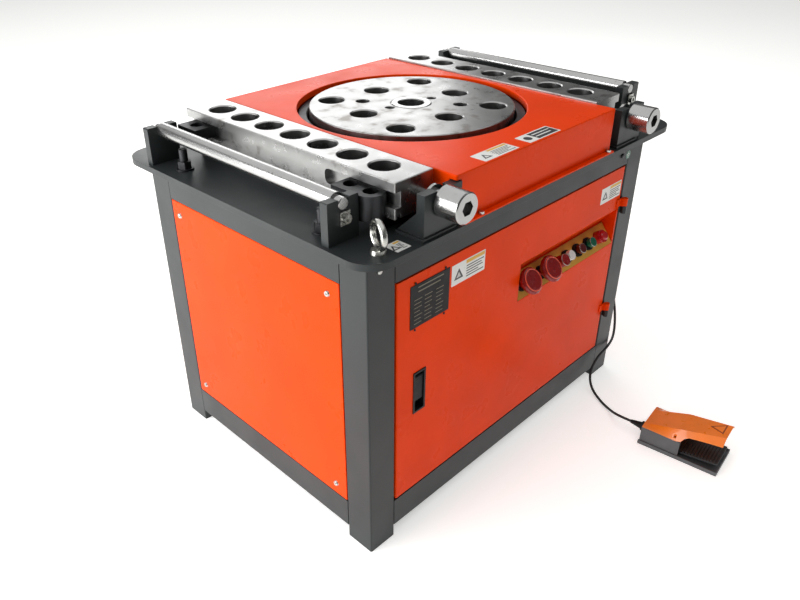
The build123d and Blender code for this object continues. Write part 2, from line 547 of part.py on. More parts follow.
with BuildPart() as motor_rotor:
    rod(along_x(FAN_X[0] - 6, MOTOR_Y, MOTOR_Z), MOTOR_SHAFT_R, WORM_X[1] - FAN_X[0] + 6)
    rod(along_x(ROTOR_X[0], MOTOR_Y, MOTOR_Z), ROTOR_R, ROTOR_X[1] - ROTOR_X[0])
    rod(along_x(FAN_X[0], MOTOR_Y, MOTOR_Z), FAN_R, 3)
    with BuildSketch(along_x(FAN_X[0], MOTOR_Y, MOTOR_Z)):
        with PolarLocations(FAN_R - 24, 7):
            Rectangle(44, 3)
        Circle(MOTOR_SHAFT_R + 8)
    extrude(amount=FAN_X[1] - FAN_X[0])
motor_rotor.part.label = "motor_rotor"
export_step(motor_rotor.part.moved(TO_ORIGIN), "parts/motor_rotor.step")

with BuildPart() as drive_pulley:
    pulley(MOTOR_Y, MOTOR_Z, DRIVER_R, MOTOR_SHAFT_R)
drive_pulley.part.label = "drive_pulley"
export_step(drive_pulley.part.moved(TO_ORIGIN), "parts/drive_pulley.step")

BELT_T, BELT_W, BELT_GAP = 8.0, 10.0, 0.4

with BuildPart() as drive_belts:
    for x in BELT_X:
        for extra, mode in ((BELT_GAP + BELT_T, Mode.ADD), (BELT_GAP, Mode.SUBTRACT)):
            with BuildSketch(along_x(x - BELT_W / 2, 0, 0)):
                with BuildLine():
                    CenterArc((WORM_Y, WORM_Z), DRIVEN_R - GROOVE + extra, 0, 360)
                    CenterArc((MOTOR_Y, MOTOR_Z), DRIVER_R - GROOVE + extra, 0, 360)
                make_hull()
            extrude(amount=BELT_W, mode=mode)
drive_belts.part.label = "drive_belts"
export_step(drive_belts.part.moved(TO_ORIGIN), "parts/drive_belts.step")

# ---- electrical gear ----------------------------------------------------------------------
GEAR_PLATE_X = (-392.0, -389.0)

CONTACTOR_X = (GEAR_PLATE_X[1] + 7, -305.0)

# Mounting plate on four posts, two rails, contactors, terminals and a transformer.
with BuildPart() as control_gear:
    block(GEAR_PLATE_X, (-150, 190), (150, 470))
    for y in (-135, 175):
        for z in (165, 455):
            rod(along_x(-HALF_W + SHEET, y, z), 6, GEAR_PLATE_X[0] + HALF_W - SHEET)
    for z in (240, 380):
        block((GEAR_PLATE_X[1], CONTACTOR_X[0]), (-140, 180), (z - 17, z + 17))
    for y in (-125, -70, -15):
        block(CONTACTOR_X, (y, y + 45), (346, 424))
        block((CONTACTOR_X[1], CONTACTOR_X[1] + 12), (y + 6, y + 39), (360, 410))
    block(CONTACTOR_X, (45, 165), (350, 420))
    for y in range(-130, 170, 16):
        block((CONTACTOR_X[0], CONTACTOR_X[0] + 36), (y, y + 11), (218, 262))
    block((GEAR_PLATE_X[1], -322), (-60, 60), (160, 215))
control_gear.part.label = "control_gear"
export_step(control_gear.part.moved(TO_ORIGIN), "parts/control_gear.step")

# ---- socket bars, side blocks and their rails ----------------------------------------------
RAIL_TOP = BAR_Z[0] - 0.3
KEY_X, KEY_H, KEY_GAP = (312.0, 319.0), 7.0, 0.3
SLOT_ENDS = ((BAR_Y[0] - 30, -109.0), (138.0, BAR_Y[1] + 30))
SLOT_CORNER = 10.0
SCREW_TIP_Y, SCREW_BORE = -240.0, 37.5
bar_hole_y = [BAR_MID_Y + (i - BAR_HOLES // 2) * BAR_PITCH for i in range(BAR_HOLES)]

with BuildPart() as bar_rails:
    for x, top in (((BAR_X - 39, BAR_X + 38), RAIL_TOP), (KEY_X, RAIL_TOP + KEY_H)):
        for limits in (x, mirrored(x)):
            block(limits, (-236, 266), (TOP, top))
bar_rails.part.label = "bar_rails"
export_step(bar_rails.part.moved(TO_ORIGIN), "parts/bar_rails.step")

for side, sign in (("left", -1), ("right", 1)):
    outer_x = sign * (BAR_X + BAR_W / 2)
    key_slot = (KEY_X[0] - KEY_GAP, KEY_X[1] + KEY_GAP)
    with BuildPart() as socket_bar:
        block((sign * BAR_X - BAR_W / 2, sign * BAR_X + BAR_W / 2), BAR_Y, BAR_Z)
        chamfer(socket_bar.edges().group_by(Axis.Z)[-1], 1.2)
        chamfer(socket_bar.edges().filter_by(Axis.Z), 1.0)
        for y in bar_hole_y:
            rod(Plane(origin=(sign * BAR_X, y, BAR_Z[0])), PIN_R, BAR_Z[1], Mode.SUBTRACT)
            with BuildSketch(Plane(origin=(sign * BAR_X, y, BAR_Z[1]))):
                Circle(PIN_R + PIN_CHAMFER)
            extrude(amount=-PIN_CHAMFER, taper=45, mode=Mode.SUBTRACT)
        for ends in SLOT_ENDS:
            with BuildSketch(along_x(outer_x, sum(ends) / 2, sum(SLOT_Z) / 2)):
                RectangleRounded(ends[1] - ends[0], SLOT_Z[1] - SLOT_Z[0], SLOT_CORNER)
            extrude(amount=-sign * SLOT_DEPTH, mode=Mode.SUBTRACT)
        block(key_slot if sign > 0 else mirrored(key_slot), (BAR_Y[0] - 1, BAR_Y[1] + 1),
              (BAR_Z[0], RAIL_TOP + KEY_H + KEY_GAP), Mode.SUBTRACT)
        rod(along_y(SCREW_X[side], BAR_Y[0], SCREW_Z), SCREW_R + RUN, SCREW_BORE, Mode.SUBTRACT)
    socket_bar.part.label = f"socket_bar_{side}"
    export_step(socket_bar.part.moved(TO_ORIGIN), f"parts/socket_bar_{side}.step")

# Castings held in the side slots. Each has round sockets for guide pins.
BLOCK_R, BLOCK_X, BLOCK_Z, BLOCK_FOOT_Z = 24.0, 334.0, (655.0, 676.0), 634.0
BLOCK_IN_X = BAR_X + BAR_W / 2 - SLOT_DEPTH
BLOCK_HOLE_R = 12.5
front_holes, back_hole = (-224.0, -180.0), 246.0

for side, sign in (("left", -1), ("right", 1)):
    with BuildPart() as side_blocks:
        with BuildSketch(Plane.XY.offset(BLOCK_FOOT_Z)):
            with Locations((sign * BLOCK_X, front_holes[0])):
                Circle(BLOCK_R)
            with Locations((sign * (BLOCK_X + BLOCK_R + BLOCK_IN_X) / 2, -192)):
                Rectangle(BLOCK_X + BLOCK_R - BLOCK_IN_X, 64)
            with Locations((sign * (BLOCK_X + BLOCK_R + BLOCK_IN_X) / 2, back_hole)):
                Rectangle(BLOCK_X + BLOCK_R - BLOCK_IN_X, 60)
        extrude(amount=BLOCK_Z[1] - BLOCK_FOOT_Z)
        bar_side = (0, BAR_X + BAR_W / 2)
        slot_side = (0, BLOCK_IN_X)
        for x, z in ((bar_side, (0, BLOCK_Z[0])), (slot_side, (0, BAR_Z[1]))):
            block(x if sign > 0 else mirrored(x), (-300, 300), z, Mode.SUBTRACT)
        block((sign * BLOCK_X - 60, sign * BLOCK_X + 60), (200, 300), (0, BLOCK_Z[0]),
              Mode.SUBTRACT)
        with BuildSketch(Plane.XY.offset(BLOCK_FOOT_Z)):
            with Locations(*[(sign * BLOCK_X, y) for y in (*front_holes, back_hole)]):
                Circle(BLOCK_HOLE_R)
        extrude(amount=BLOCK_Z[1], mode=Mode.SUBTRACT)
    side_blocks.part.label = f"side_blocks_{side}"
    export_step(side_blocks.part.moved(TO_ORIGIN), f"parts/side_blocks_{side}.step")

# ---- feed screws and their brackets --------------------------------------------------------
SLOT_HALF, NECK_SCREW_R, COLLAR_R, COLLAR_T = 15.0, 14.5, 21.0, 5.0
HEAD_LEN, HEAD_SCREW_R, SOCKET_R, SOCKET_DEEP, FACE_GAP = 46.0, 25.5, 12.5, 22.0, 0.4
BASE_T, GUSSET_T, GUSSET_FOOT_Y, GUSSET_TOP_Z = 5.0, 8.0, -256.0, 652.0

with BuildPart() as screw_brackets:
    for x in SCREW_X.values():
        block((x - BRACKET_HALF - 5, x + BRACKET_HALF - 13), (BRACKET_Y[0] - 3, GUSSET_FOOT_Y),
              (TOP, TOP + BASE_T))
        with BuildSketch(along_y(0, BRACKET_Y[0], 0)):
            with Locations((x, -(TOP + BRACKET_TOP) / 2)):
                Rectangle(2 * BRACKET_HALF, BRACKET_TOP - TOP)
            with Locations((x, -SCREW_Z)):
                Circle(SLOT_HALF, mode=Mode.SUBTRACT)
            with Locations((x, -SCREW_Z - 20)):
                Rectangle(2 * SLOT_HALF, 40, mode=Mode.SUBTRACT)
        extrude(amount=BRACKET_Y[1] - BRACKET_Y[0])
        gusset_x = x - BRACKET_HALF
        with BuildSketch(along_x(gusset_x, 0, 0)):
            with BuildLine():
                Polyline((BRACKET_Y[1], TOP + BASE_T), (GUSSET_FOOT_Y, TOP + BASE_T),
                         (BRACKET_Y[1], GUSSET_TOP_Z), close=True)
            make_face()
        extrude(amount=GUSSET_T)
screw_brackets.part.label = "screw_brackets"
export_step(screw_brackets.part.moved(TO_ORIGIN), "parts/screw_brackets.step")

for side, x in SCREW_X.items():
    head_y = BRACKET_Y[0] - FACE_GAP - HEAD_LEN
    collar_y = BRACKET_Y[1] + FACE_GAP
    with BuildPart() as feed_screw:
        rod(along_y(x, head_y, SCREW_Z), HEAD_SCREW_R, HEAD_LEN)
        chamfer(feed_screw.edges(), 2.0)
        rod(along_y(x, head_y + HEAD_LEN, SCREW_Z), NECK_SCREW_R, collar_y - head_y - HEAD_LEN)
        rod(along_y(x, collar_y, SCREW_Z), COLLAR_R, COLLAR_T)
        rod(along_y(x, collar_y + COLLAR_T, SCREW_Z), SCREW_R, SCREW_TIP_Y - collar_y - COLLAR_T)
        with BuildSketch(along_y(x, head_y, SCREW_Z)):
            RegularPolygon(SOCKET_R, 6)
        extrude(amount=SOCKET_DEEP, mode=Mode.SUBTRACT)
    feed_screw.part.label = f"feed_screw_{side}"
    export_step(feed_screw.part.moved(TO_ORIGIN), f"parts/feed_screw_{side}.step")

# ---- rollers and their end plates ----------------------------------------------------------
PLATE_HALF, NOTCH_R = 33.0, 10.5
PLATE_CUT = 3.0                     # the plates stop short of the side blocks by this much
plate_x = {"left": (ROLLER_X["left"] - PLATE_HALF, ROLLER_X["left"] + PLATE_HALF - PLATE_CUT),
           "right": (ROLLER_X["right"] - PLATE_HALF, ROLLER_X["right"] + PLATE_HALF)}

with BuildPart() as roller_brackets:
    for side, (x0, x1) in plate_x.items():
        for y in (PLATE_FRONT, PLATE_BACK):
            block((x0, x1), y, (TOP, PLATE_TOP))
            rod(along_y(ROLLER_X[side], y[0], ROLLER_Z), NOTCH_R, y[1] - y[0], Mode.SUBTRACT)
            block((ROLLER_X[side] - NOTCH_R, ROLLER_X[side] + NOTCH_R), y,
                  (ROLLER_Z, PLATE_TOP + 1), Mode.SUBTRACT)
    chamfer(roller_brackets.edges().filter_by(Axis.Y).filter_by(GeomType.LINE).group_by(
        Axis.Z)[-1], 1.5)
roller_brackets.part.label = "roller_brackets"
export_step(roller_brackets.part.moved(TO_ORIGIN), "parts/roller_brackets.step")

KEEPER_Z, KEEPER_W, KEEPER_T = 650.0, 22.0, 4.0

with BuildPart() as roller_keepers:
    for x in ROLLER_X.values():
        for face in (Plane(origin=(x, PLATE_FRONT[0], KEEPER_Z), z_dir=(0, -1, 0)),
                     Plane(origin=(x, PLATE_BACK[1], KEEPER_Z), z_dir=(0, 1, 0))):
            with BuildSketch(face):
                Rectangle(KEEPER_W, KEEPER_W - 2)
            extrude(amount=KEEPER_T)
            rod(face.offset(KEEPER_T), 7.5, 6)
            with BuildSketch(face.offset(KEEPER_T + 6)):
                RegularPolygon(4.2, 6)
            extrude(amount=-4, mode=Mode.SUBTRACT)
roller_keepers.part.label = "roller_keepers"
export_step(roller_keepers.part.moved(TO_ORIGIN), "parts/roller_keepers.step")

for side, x in ROLLER_X.items():
    with BuildPart() as roller:
        rod(along_y(x, PLATE_FRONT[0], ROLLER_Z), JOURNAL_R, PLATE_BACK[1] - PLATE_FRONT[0])
        chamfer(roller.edges(), 1.0)
        rod(along_y(x, PLATE_FRONT[1] + 0.5, ROLLER_Z), ROLLER_R,
            PLATE_BACK[0] - PLATE_FRONT[1] - 1.0)
    roller.part.label = f"roller_{side}"
    export_step(roller.part.moved(TO_ORIGIN), f"parts/roller_{side}.step")

# ---- door ---------------------------------------------------------------------------------
FACE = FRONT                        # outer face of the door skin, flush with the frame
recess_slope = atan2(PANEL_TOP_Z - RECESS_Z[0], PANEL_TOP_Y - FACE)
panel_len = (PANEL_TOP_Y - FACE) / cos(recess_slope)
# The control plate lies in this plane: its X runs along the door and its Z points at the user.
control_plane = Plane(origin=(0, (FACE + PANEL_TOP_Y) / 2, (RECESS_Z[0] + PANEL_TOP_Z) / 2),
                      x_dir=(1, 0, 0), z_dir=(0, -sin(recess_slope), cos(recess_slope)))
PLATE_T = 2.5
CEILING_Z = PANEL_TOP_Z + 4
LATCH_X, LATCH_Z = (-304.0, -277.0), (268.0, 351.0)
ESTOPS = {"estop_left": 16.0, "estop_right": 84.0}
BUTTONS = {"button_red": 135.0, "button_white": 176.0, "button_dark_red": 217.0,
           "button_green": 258.0}
LAMP_X = 299.0
STEM_R, BEZEL_R, BEZEL_H, CAP_R = 8.0, 14.0, 5.0, 10.5

recess_outline = [(FACE - 1, RECESS_Z[0] - tan(recess_slope)), (PANEL_TOP_Y, PANEL_TOP_Z),
                  (PANEL_TOP_Y, CEILING_Z), (FACE - 1, RECESS_Z[1] + 1.2)]
pocket_outline = [(FACE, RECESS_Z[0] - 5), (PANEL_TOP_Y + 4.5, PANEL_TOP_Z - 2),
                  (PANEL_TOP_Y + 4.5, CEILING_Z + 2), (FACE, RECESS_Z[1] + 5)]

with BuildPart() as door_skin:
    block(DOOR_X, (FACE, FACE + DOOR_DEPTH), DOOR_Z)
    fillet(door_skin.edges().filter_by(Axis.Z).group_by(Axis.Y)[0], 2.5)
    inner_x = (DOOR_X[0] + DOOR_SHEET, DOOR_X[1] - DOOR_SHEET)
    block(inner_x, (FACE + DOOR_SHEET, FACE + DOOR_DEPTH),
          (DOOR_Z[0] + DOOR_SHEET, DOOR_Z[1] - DOOR_SHEET), Mode.SUBTRACT)
    with BuildSketch(along_x(RECESS_X[0] - 2, 0, 0)):
        with BuildLine():
            Polyline(*pocket_outline, close=True)
        make_face()
    extrude(amount=RECESS_X[1] - RECESS_X[0] + 4)
    with BuildSketch(along_x(RECESS_X[0], 0, 0)):
        with BuildLine():
            Polyline(*recess_outline, close=True)
        make_face()
    extrude(amount=RECESS_X[1] - RECESS_X[0], mode=Mode.SUBTRACT)
    with BuildSketch(control_plane):
        with Locations(*[(x, 0) for x in (*ESTOPS.values(), *BUTTONS.values(), LAMP_X)]):
            Circle(BEZEL_R - 2.5)
    extrude(amount=-14, mode=Mode.SUBTRACT)
    block(LATCH_X, (FACE - 1, FACE + DOOR_SHEET + 1), LATCH_Z, Mode.SUBTRACT)
door_skin.part.label = "door_skin"
export_step(door_skin.part.moved(TO_ORIGIN), "parts/door_skin.step")

plate_len = RECESS_X[1] - RECESS_X[0] - 2

with BuildPart() as control_plate:
    with BuildSketch(control_plane):
        with Locations(((RECESS_X[0] + RECESS_X[1]) / 2, 0)):
            Rectangle(plate_len, panel_len - 3)
        with Locations(*[(x, 0) for x in (*ESTOPS.values(), *BUTTONS.values(), LAMP_X)]):
            Circle(BEZEL_R - 2.5, mode=Mode.SUBTRACT)
    extrude(amount=PLATE_T)
control_plate.part.label = "control_plate"
export_step(control_plate.part.moved(TO_ORIGIN), "parts/control_plate.step")

# Each control has a body through the plate, with a collar in front and a block behind.
with BuildPart() as contact_blocks:
    for x in (*ESTOPS.values(), *BUTTONS.values()):
        place = Plane(origin=control_plane.from_local_coords(Vector(x, 0, 0)),
                      x_dir=(1, 0, 0), z_dir=control_plane.z_dir)
        rod(place.offset(-14), BEZEL_R - 2.6, 14 + PLATE_T)
        rod(place.offset(PLATE_T), BEZEL_R, BEZEL_H)
        with BuildSketch(place.offset(-44)):
            Rectangle(30, 36)
        extrude(amount=30)
        rod(place.offset(-24), STEM_R + 0.4, 40, Mode.SUBTRACT)
contact_blocks.part.label = "contact_blocks"
export_step(contact_blocks.part.moved(TO_ORIGIN), "parts/contact_blocks.step")
BUTTON_BASE = PLATE_T + BEZEL_H     # front of the collars, above the control plane

for name, x in BUTTONS.items():
    reach = 22.0 if name == "button_red" else 9.0
    place = Plane(origin=control_plane.from_local_coords(Vector(x, 0, 0)),
                  x_dir=(1, 0, 0), z_dir=control_plane.z_dir)
    with BuildPart() as button:
        rod(place.offset(-16), STEM_R, 16 + BUTTON_BASE + 4.4)
        rod(place.offset(BUTTON_BASE + 4.4), CAP_R + (2 if reach > 10 else 0), reach)
        chamfer(button.edges().filter_by(GeomType.CIRCLE).sort_by_distance(
            place.offset(BUTTON_BASE + 4.4 + reach).origin)[0], 1.2)
    button.part.label = name
    export_step(button.part.moved(TO_ORIGIN), f"parts/{name}.step")

CAP_PROFILE = ((0, 24.0), (20.0, 24.0), (25.0, 26.5), (27.0, 31.0), (27.0, 34.0), (24.5, 37.5),
               (19.0, 39.5), (0, 40.5))

for name, x in ESTOPS.items():
    place = Plane(origin=control_plane.from_local_coords(Vector(x, 0, 0)),
                  x_dir=(1, 0, 0), z_dir=control_plane.z_dir)
    with BuildPart() as estop:
        rod(place.offset(-16), STEM_R, 16 + BUTTON_BASE + 20)
        with BuildSketch(place.rotated((90, 0, 0))):
            with BuildLine():
                Polyline(*CAP_PROFILE, close=True)
            make_face()
        revolve(axis=Axis(place.origin, place.z_dir))
    estop.part.label = name
    export_step(estop.part.moved(TO_ORIGIN), f"parts/{name}.step")

with BuildPart() as pilot_lamp:
    place = Plane(origin=control_plane.from_local_coords(Vector(LAMP_X, 0, 0)),
                  x_dir=(1, 0, 0), z_dir=control_plane.z_dir)
    rod(place.offset(-40), BEZEL_R - 2.6, 40 + PLATE_T)
    rod(place.offset(PLATE_T), BEZEL_R, 16)
    rod(place.offset(PLATE_T + 16), BEZEL_R - 3.5, 7)
    chamfer(pilot_lamp.edges().filter_by(GeomType.CIRCLE).sort_by_distance(
        place.offset(PLATE_T + 23).origin)[0], 3.0)
pilot_lamp.part.label = "pilot_lamp"
export_step(pilot_lamp.part.moved(TO_ORIGIN), "parts/pilot_lamp.step")

PLATE_X, PLATE_Z = (-317.0, -221.0), (446.0, 527.0)

with BuildPart() as data_plate:
    block(PLATE_X, (FACE - 1.0, FACE), PLATE_Z)
    with BuildSketch(Plane(origin=(sum(PLATE_X) / 2, FACE - 1.0, sum(PLATE_Z) / 2),
                           z_dir=(0, -1, 0))):
        with GridLocations(PLATE_X[1] - PLATE_X[0] - 8, PLATE_Z[1] - PLATE_Z[0] - 8, 2, 2):
            Circle(2.2)
    extrude(amount=1.0, taper=20)
data_plate.part.label = "data_plate"
export_step(data_plate.part.moved(TO_ORIGIN), "parts/data_plate.step")

# Flush pull latch: a cup in the door with a lever that swings out about its top edge.
LATCH_LIP, LATCH_CUP, LEVER_PIN_Z = 2.0, 14.0, 338.0

with BuildPart() as latch_body:
    block(LATCH_X, (FACE, FACE + LATCH_CUP), LATCH_Z)
    block((LATCH_X[0] - LATCH_LIP, LATCH_X[1] + LATCH_LIP), (FACE - 1.5, FACE),
          (LATCH_Z[0] - LATCH_LIP, LATCH_Z[1] + LATCH_LIP))
    block((LATCH_X[0] + 2, LATCH_X[1] - 2), (FACE - 2, FACE + LATCH_CUP - 2),
          (LATCH_Z[0] + 2, LATCH_Z[1] - 2), Mode.SUBTRACT)
    rod(along_x(LATCH_X[0], FACE + 5, LEVER_PIN_Z), 2.0, LATCH_X[1] - LATCH_X[0])
latch_body.part.label = "latch_body"
export_step(latch_body.part.moved(TO_ORIGIN), "parts/latch_body.step")

with BuildPart() as latch_lever:
    lever_x = (LATCH_X[0] + 3, LATCH_X[1] - 3)
    block(lever_x, (FACE + 1, FACE + 4.5), (LATCH_Z[0] + 22, LEVER_PIN_Z - 3))
    rod(along_x(lever_x[0], FACE + 5, LEVER_PIN_Z), 4.5, lever_x[1] - lever_x[0])
    rod(along_x(lever_x[0], FACE + 5, LEVER_PIN_Z), 2.0 + RUN, lever_x[1] - lever_x[0],
        Mode.SUBTRACT)
latch_lever.part.label = "latch_lever"
export_step(latch_lever.part.moved(TO_ORIGIN), "parts/latch_lever.step")

# Lift-off hinges: pin and lower knuckle on the leg, upper knuckle on the door.
KNUCKLE_R, KNUCKLE_H, PIN_HINGE_R, LEAF_T, HINGE_GAP = 6.0, 17.0, 3.5, 2.5, 0.4
LEAF_W = 12.0

with BuildPart() as hinge_frame_leaves:
    for z in HINGE_Z:
        with BuildSketch(Plane(origin=(*HINGE, z - KNUCKLE_H))):
            Circle(KNUCKLE_R)
        extrude(amount=KNUCKLE_H)
        rod(Plane(origin=(*HINGE, z)), PIN_HINGE_R, KNUCKLE_H - 1)
        block((HINGE[0], HINGE[0] + LEAF_W), (FRONT - LEAF_T, FRONT), (z - KNUCKLE_H, z))
        block((HINGE[0] - 3, HINGE[0] + 6), (HINGE[1] + 3, FRONT), (z - KNUCKLE_H, z))
hinge_frame_leaves.part.label = "hinge_frame_leaves"
export_step(hinge_frame_leaves.part.moved(TO_ORIGIN), "parts/hinge_frame_leaves.step")

with BuildPart() as hinge_door_leaves:
    for z in HINGE_Z:
        base = z + HINGE_GAP
        rod(Plane(origin=(*HINGE, base)), KNUCKLE_R, KNUCKLE_H)
        block((HINGE[0] - 2 * LEAF_W, HINGE[0]), (FACE - LEAF_T, FACE), (base, base + KNUCKLE_H))
        block((HINGE[0] - 9, HINGE[0]), (HINGE[1], FACE), (base, base + KNUCKLE_H))
        rod(Plane(origin=(*HINGE, base)), PIN_HINGE_R + RUN, KNUCKLE_H - 0.5, Mode.SUBTRACT)
hinge_door_leaves.part.label = "hinge_door_leaves"
export_step(hinge_door_leaves.part.moved(TO_ORIGIN), "parts/hinge_door_leaves.step")

# ---- foot pedal, its cord and the cable glands ----------------------------------------------
PEDAL_TURN = 6.2                    # degrees, its toe swings towards +X
PEDAL_HEEL = (250.0, -489.0)        # middle of the heel edge of its base, on the floor
PEDAL_L, PEDAL_W, BASE_H, RIM_W, RIM_H = 166.0, 92.0, 4.0, 3.0, 9.0
# Local frame of the pedal: X to its right, Y from the toe back to the heel.
pedal_plane = Plane(origin=(*PEDAL_HEEL, 0), z_dir=(0, 0, 1),
                    x_dir=(cos(radians(PEDAL_TURN)), sin(radians(PEDAL_TURN)), 0))
BODY_W, BODY_TOP, BODY_WALL = 87.0, 44.0, 6.0
# Cross-sections of the hood: local Y, half width and height of its foot and of its crown.
HOOD = ((-2.0, 43.0, 44.0, 29.0, 46.0), (-16.0, 43.0, 44.0, 28.0, 49.5),
        (-75.0, 45.0, 45.0, 31.0, 68.0), (-163.0, 42.0, 72.0, 23.0, 86.0))
HOOD_T = 3.0
TREADLE_PIVOT = (-70.0, 13.0)       # local Y and Z of the treadle's pin
TREADLE_PIN_R, TREADLE_W = 3.0, 68.0
TREADLE_TOP = ((-64.0, 12.0), (-161.0, 22.2))   # local Y and Z along its upper face
RIB_H, RIB_W, RIBS = 2.0, 3.0, 12
HEEL_GLAND = (-9.0, -2.0, 20.0)     # seat of the cord gland in the pedal's own frame
CORD_D = 6.0


def pedal_side_plane(x):
    """A plane across the pedal at local X, whose own X is the pedal's Y and own Y is up."""
    origin = pedal_plane.from_local_coords(Vector(x, 0, 0))
    return Plane(origin=origin, x_dir=pedal_plane.y_dir, z_dir=pedal_plane.x_dir)


def treadle_pin(x):
    """A plane across the pedal at local X, centred on the treadle's pin."""
    side_plane = pedal_side_plane(x)
    return Plane(origin=side_plane.from_local_coords(Vector(*TREADLE_PIVOT, 0)),
                 x_dir=side_plane.x_dir, z_dir=side_plane.z_dir)


def across(points, width, mode=Mode.ADD):
    """An outline in the pedal's side view, extruded across its width about the middle."""
    with BuildSketch(pedal_side_plane(-width / 2)) as outline:
        with BuildLine():
            Polyline(*points, close=True)
        make_face()
    extrude(outline.sketch, amount=width, mode=mode)


with BuildPart() as pedal_base:
    across([(0, 0), (-PEDAL_L, 0), (-PEDAL_L, RIM_H), (0, RIM_H)], PEDAL_W)
    across([(1, BASE_H), (-PEDAL_L + RIM_W, BASE_H), (-PEDAL_L + RIM_W, 40), (1, 40)],
           PEDAL_W - 2 * RIM_W, Mode.SUBTRACT)
    across([(-2, BASE_H), (-2, BODY_TOP), (-84, BODY_TOP), (-84, BASE_H)], BODY_W)
    across([(-58, BASE_H), (-58, BODY_TOP + 1), (-85, BODY_TOP + 1), (-85, BASE_H)],
           BODY_W - 2 * BODY_WALL, Mode.SUBTRACT)
    rod(treadle_pin(-BODY_W / 2), TREADLE_PIN_R, BODY_W)
pedal_base.part.label = "pedal_base"
export_step(pedal_base.part.moved(TO_ORIGIN), "parts/pedal_base.step")


def hood_shell(shrink, drop, ends):
    """Sections of the hood, `shrink` inside it, with the feet `drop` lower, moved to `ends`."""
    for (y, foot, foot_z, crown, crown_z), shift in zip(HOOD, ends):
        section = Plane(origin=pedal_plane.from_local_coords(Vector(0, y + shift, 0)),
                        x_dir=pedal_plane.x_dir, z_dir=-pedal_plane.y_dir)
        with BuildSketch(section) as outline:
            with BuildLine():
                Polyline((-foot + shrink, foot_z - drop), (-crown + 0.7 * shrink, crown_z - shrink),
                         (crown - 0.7 * shrink, crown_z - shrink), (foot - shrink, foot_z - drop),
                         close=True)
            make_face()
        yield outline.sketch


cut_out = [(-84, 30), (-84, 47), (-90, 56), (-98, 60.5), (-163, 73), (-170, 73), (-170, 30)]

with BuildPart() as pedal_hood:
    loft(list(hood_shell(0, 0, (0, 0, 0, 0))), ruled=True)
    loft(list(hood_shell(HOOD_T, 2, (-HOOD_T, 0, 0, -2))), ruled=True, mode=Mode.SUBTRACT)
    across(cut_out, PEDAL_W, Mode.SUBTRACT)
    for side in (-1, 1):
        notch = pedal_plane.from_local_coords(Vector(side * 45, -71, 62))
        with Locations(Plane(origin=notch, x_dir=pedal_plane.x_dir, z_dir=(0, 0, 1))):
            Box(16, 5, 26, mode=Mode.SUBTRACT)
pedal_hood.part.label = "pedal_hood"
export_step(pedal_hood.part.moved(TO_ORIGIN), "parts/pedal_hood.step")

slope_up = (TREADLE_TOP[1][1] - TREADLE_TOP[0][1]) / (TREADLE_TOP[0][0] - TREADLE_TOP[1][0])
rib_pitch = (TREADLE_TOP[0][0] - TREADLE_TOP[1][0] - 22) / RIBS

with BuildPart() as pedal_treadle:
    (heel_y, heel_z), (toe_y, toe_z) = TREADLE_TOP
    across([(heel_y, heel_z), (heel_y, heel_z - 2), (TREADLE_PIVOT[0], 8), (heel_y - 12, 9),
            (toe_y, toe_z - 4), (toe_y, toe_z)], TREADLE_W)
    rod(treadle_pin(-TREADLE_W / 2), 6.5, TREADLE_W)
    for i in range(RIBS):
        y = heel_y - 20 - i * rib_pitch
        z = heel_z + (heel_y - y) * slope_up
        across([(y, z - 0.5), (y, z + RIB_H), (y - RIB_W, z + RIB_H + RIB_W * slope_up),
                (y - RIB_W, z - 0.5)], TREADLE_W - 4)
    rod(treadle_pin(-TREADLE_W / 2), TREADLE_PIN_R + RUN, TREADLE_W, Mode.SUBTRACT)
pedal_treadle.part.label = "pedal_treadle"
export_step(pedal_treadle.part.moved(TO_ORIGIN), "parts/pedal_treadle.step")

# The cord's route, from the gland on the right panel down round the front right leg and along
# the floor to the gland in the pedal's heel.
GLAND_LEN, RELIEF_LEN = 10.0, 24.0
floor_z = CORD_D / 2 + 0.3
relief_tip = GLAND_LEN + RELIEF_LEN
heel_seat = pedal_plane.from_local_coords(Vector(*HEEL_GLAND))
heel_points = [(15.0, 89.0, 6.0), (HEEL_GLAND[0], 63.0, HEEL_GLAND[2]),
               (HEEL_GLAND[0], HEEL_GLAND[1] + relief_tip, HEEL_GLAND[2])]
cord_route = [
    (HALF_W + relief_tip, *GLAND_YZ),
    (484.0, *GLAND_YZ),
    (514.0, -216.0, 196.0),
    (506.0, -242.0, 144.0),
    (480.0, -269.0, 100.0),
    (442.0, -291.0, 70.0),
    (390.0, -304.0, 70.0),
    (340.0, -307.0, 68.0),
    (307.0, -309.0, 40.0),
    (296.0, -324.0, 8.0),
    (271.0, -366.0, floor_z),
]
cord_route += [tuple(pedal_plane.from_local_coords(Vector(*point))) for point in heel_points]


def bend_radii(points):
    """The radius of the arc at each inner point: 0.45 of the shorter run, over tan(turn / 2)."""
    radii = []
    for before, here, after in zip(points, points[1:], points[2:]):
        first, second = Vector(*here) - Vector(*before), Vector(*after) - Vector(*here)
        turn = radians(first.get_angle(second))
        radii.append(0.45 * min(first.length, second.length) / tan(turn / 2))
    return radii


cord_radii = bend_radii(cord_route)
print("cord bend radii", [round(radius, 1) for radius in cord_radii])

with BuildPart() as pedal_cord:
    with BuildLine() as cord_line:
        FilletPolyline(*cord_route, radius=cord_radii)
    cord_start = Vector(*cord_route[1]) - Vector(*cord_route[0])
    with BuildSketch(Plane(origin=cord_route[0], z_dir=cord_start)):
        Circle(CORD_D / 2)
    sweep()
print("cord length", round(cord_line.wires()[0].length, 1),
      "volume over section and length",
      round(pedal_cord.part.volume / (pi * CORD_D ** 2 / 4 * cord_line.wires()[0].length), 4))
pedal_cord.part.label = "pedal_cord"
export_step(pedal_cord.part.moved(TO_ORIGIN), "parts/pedal_cord.step")

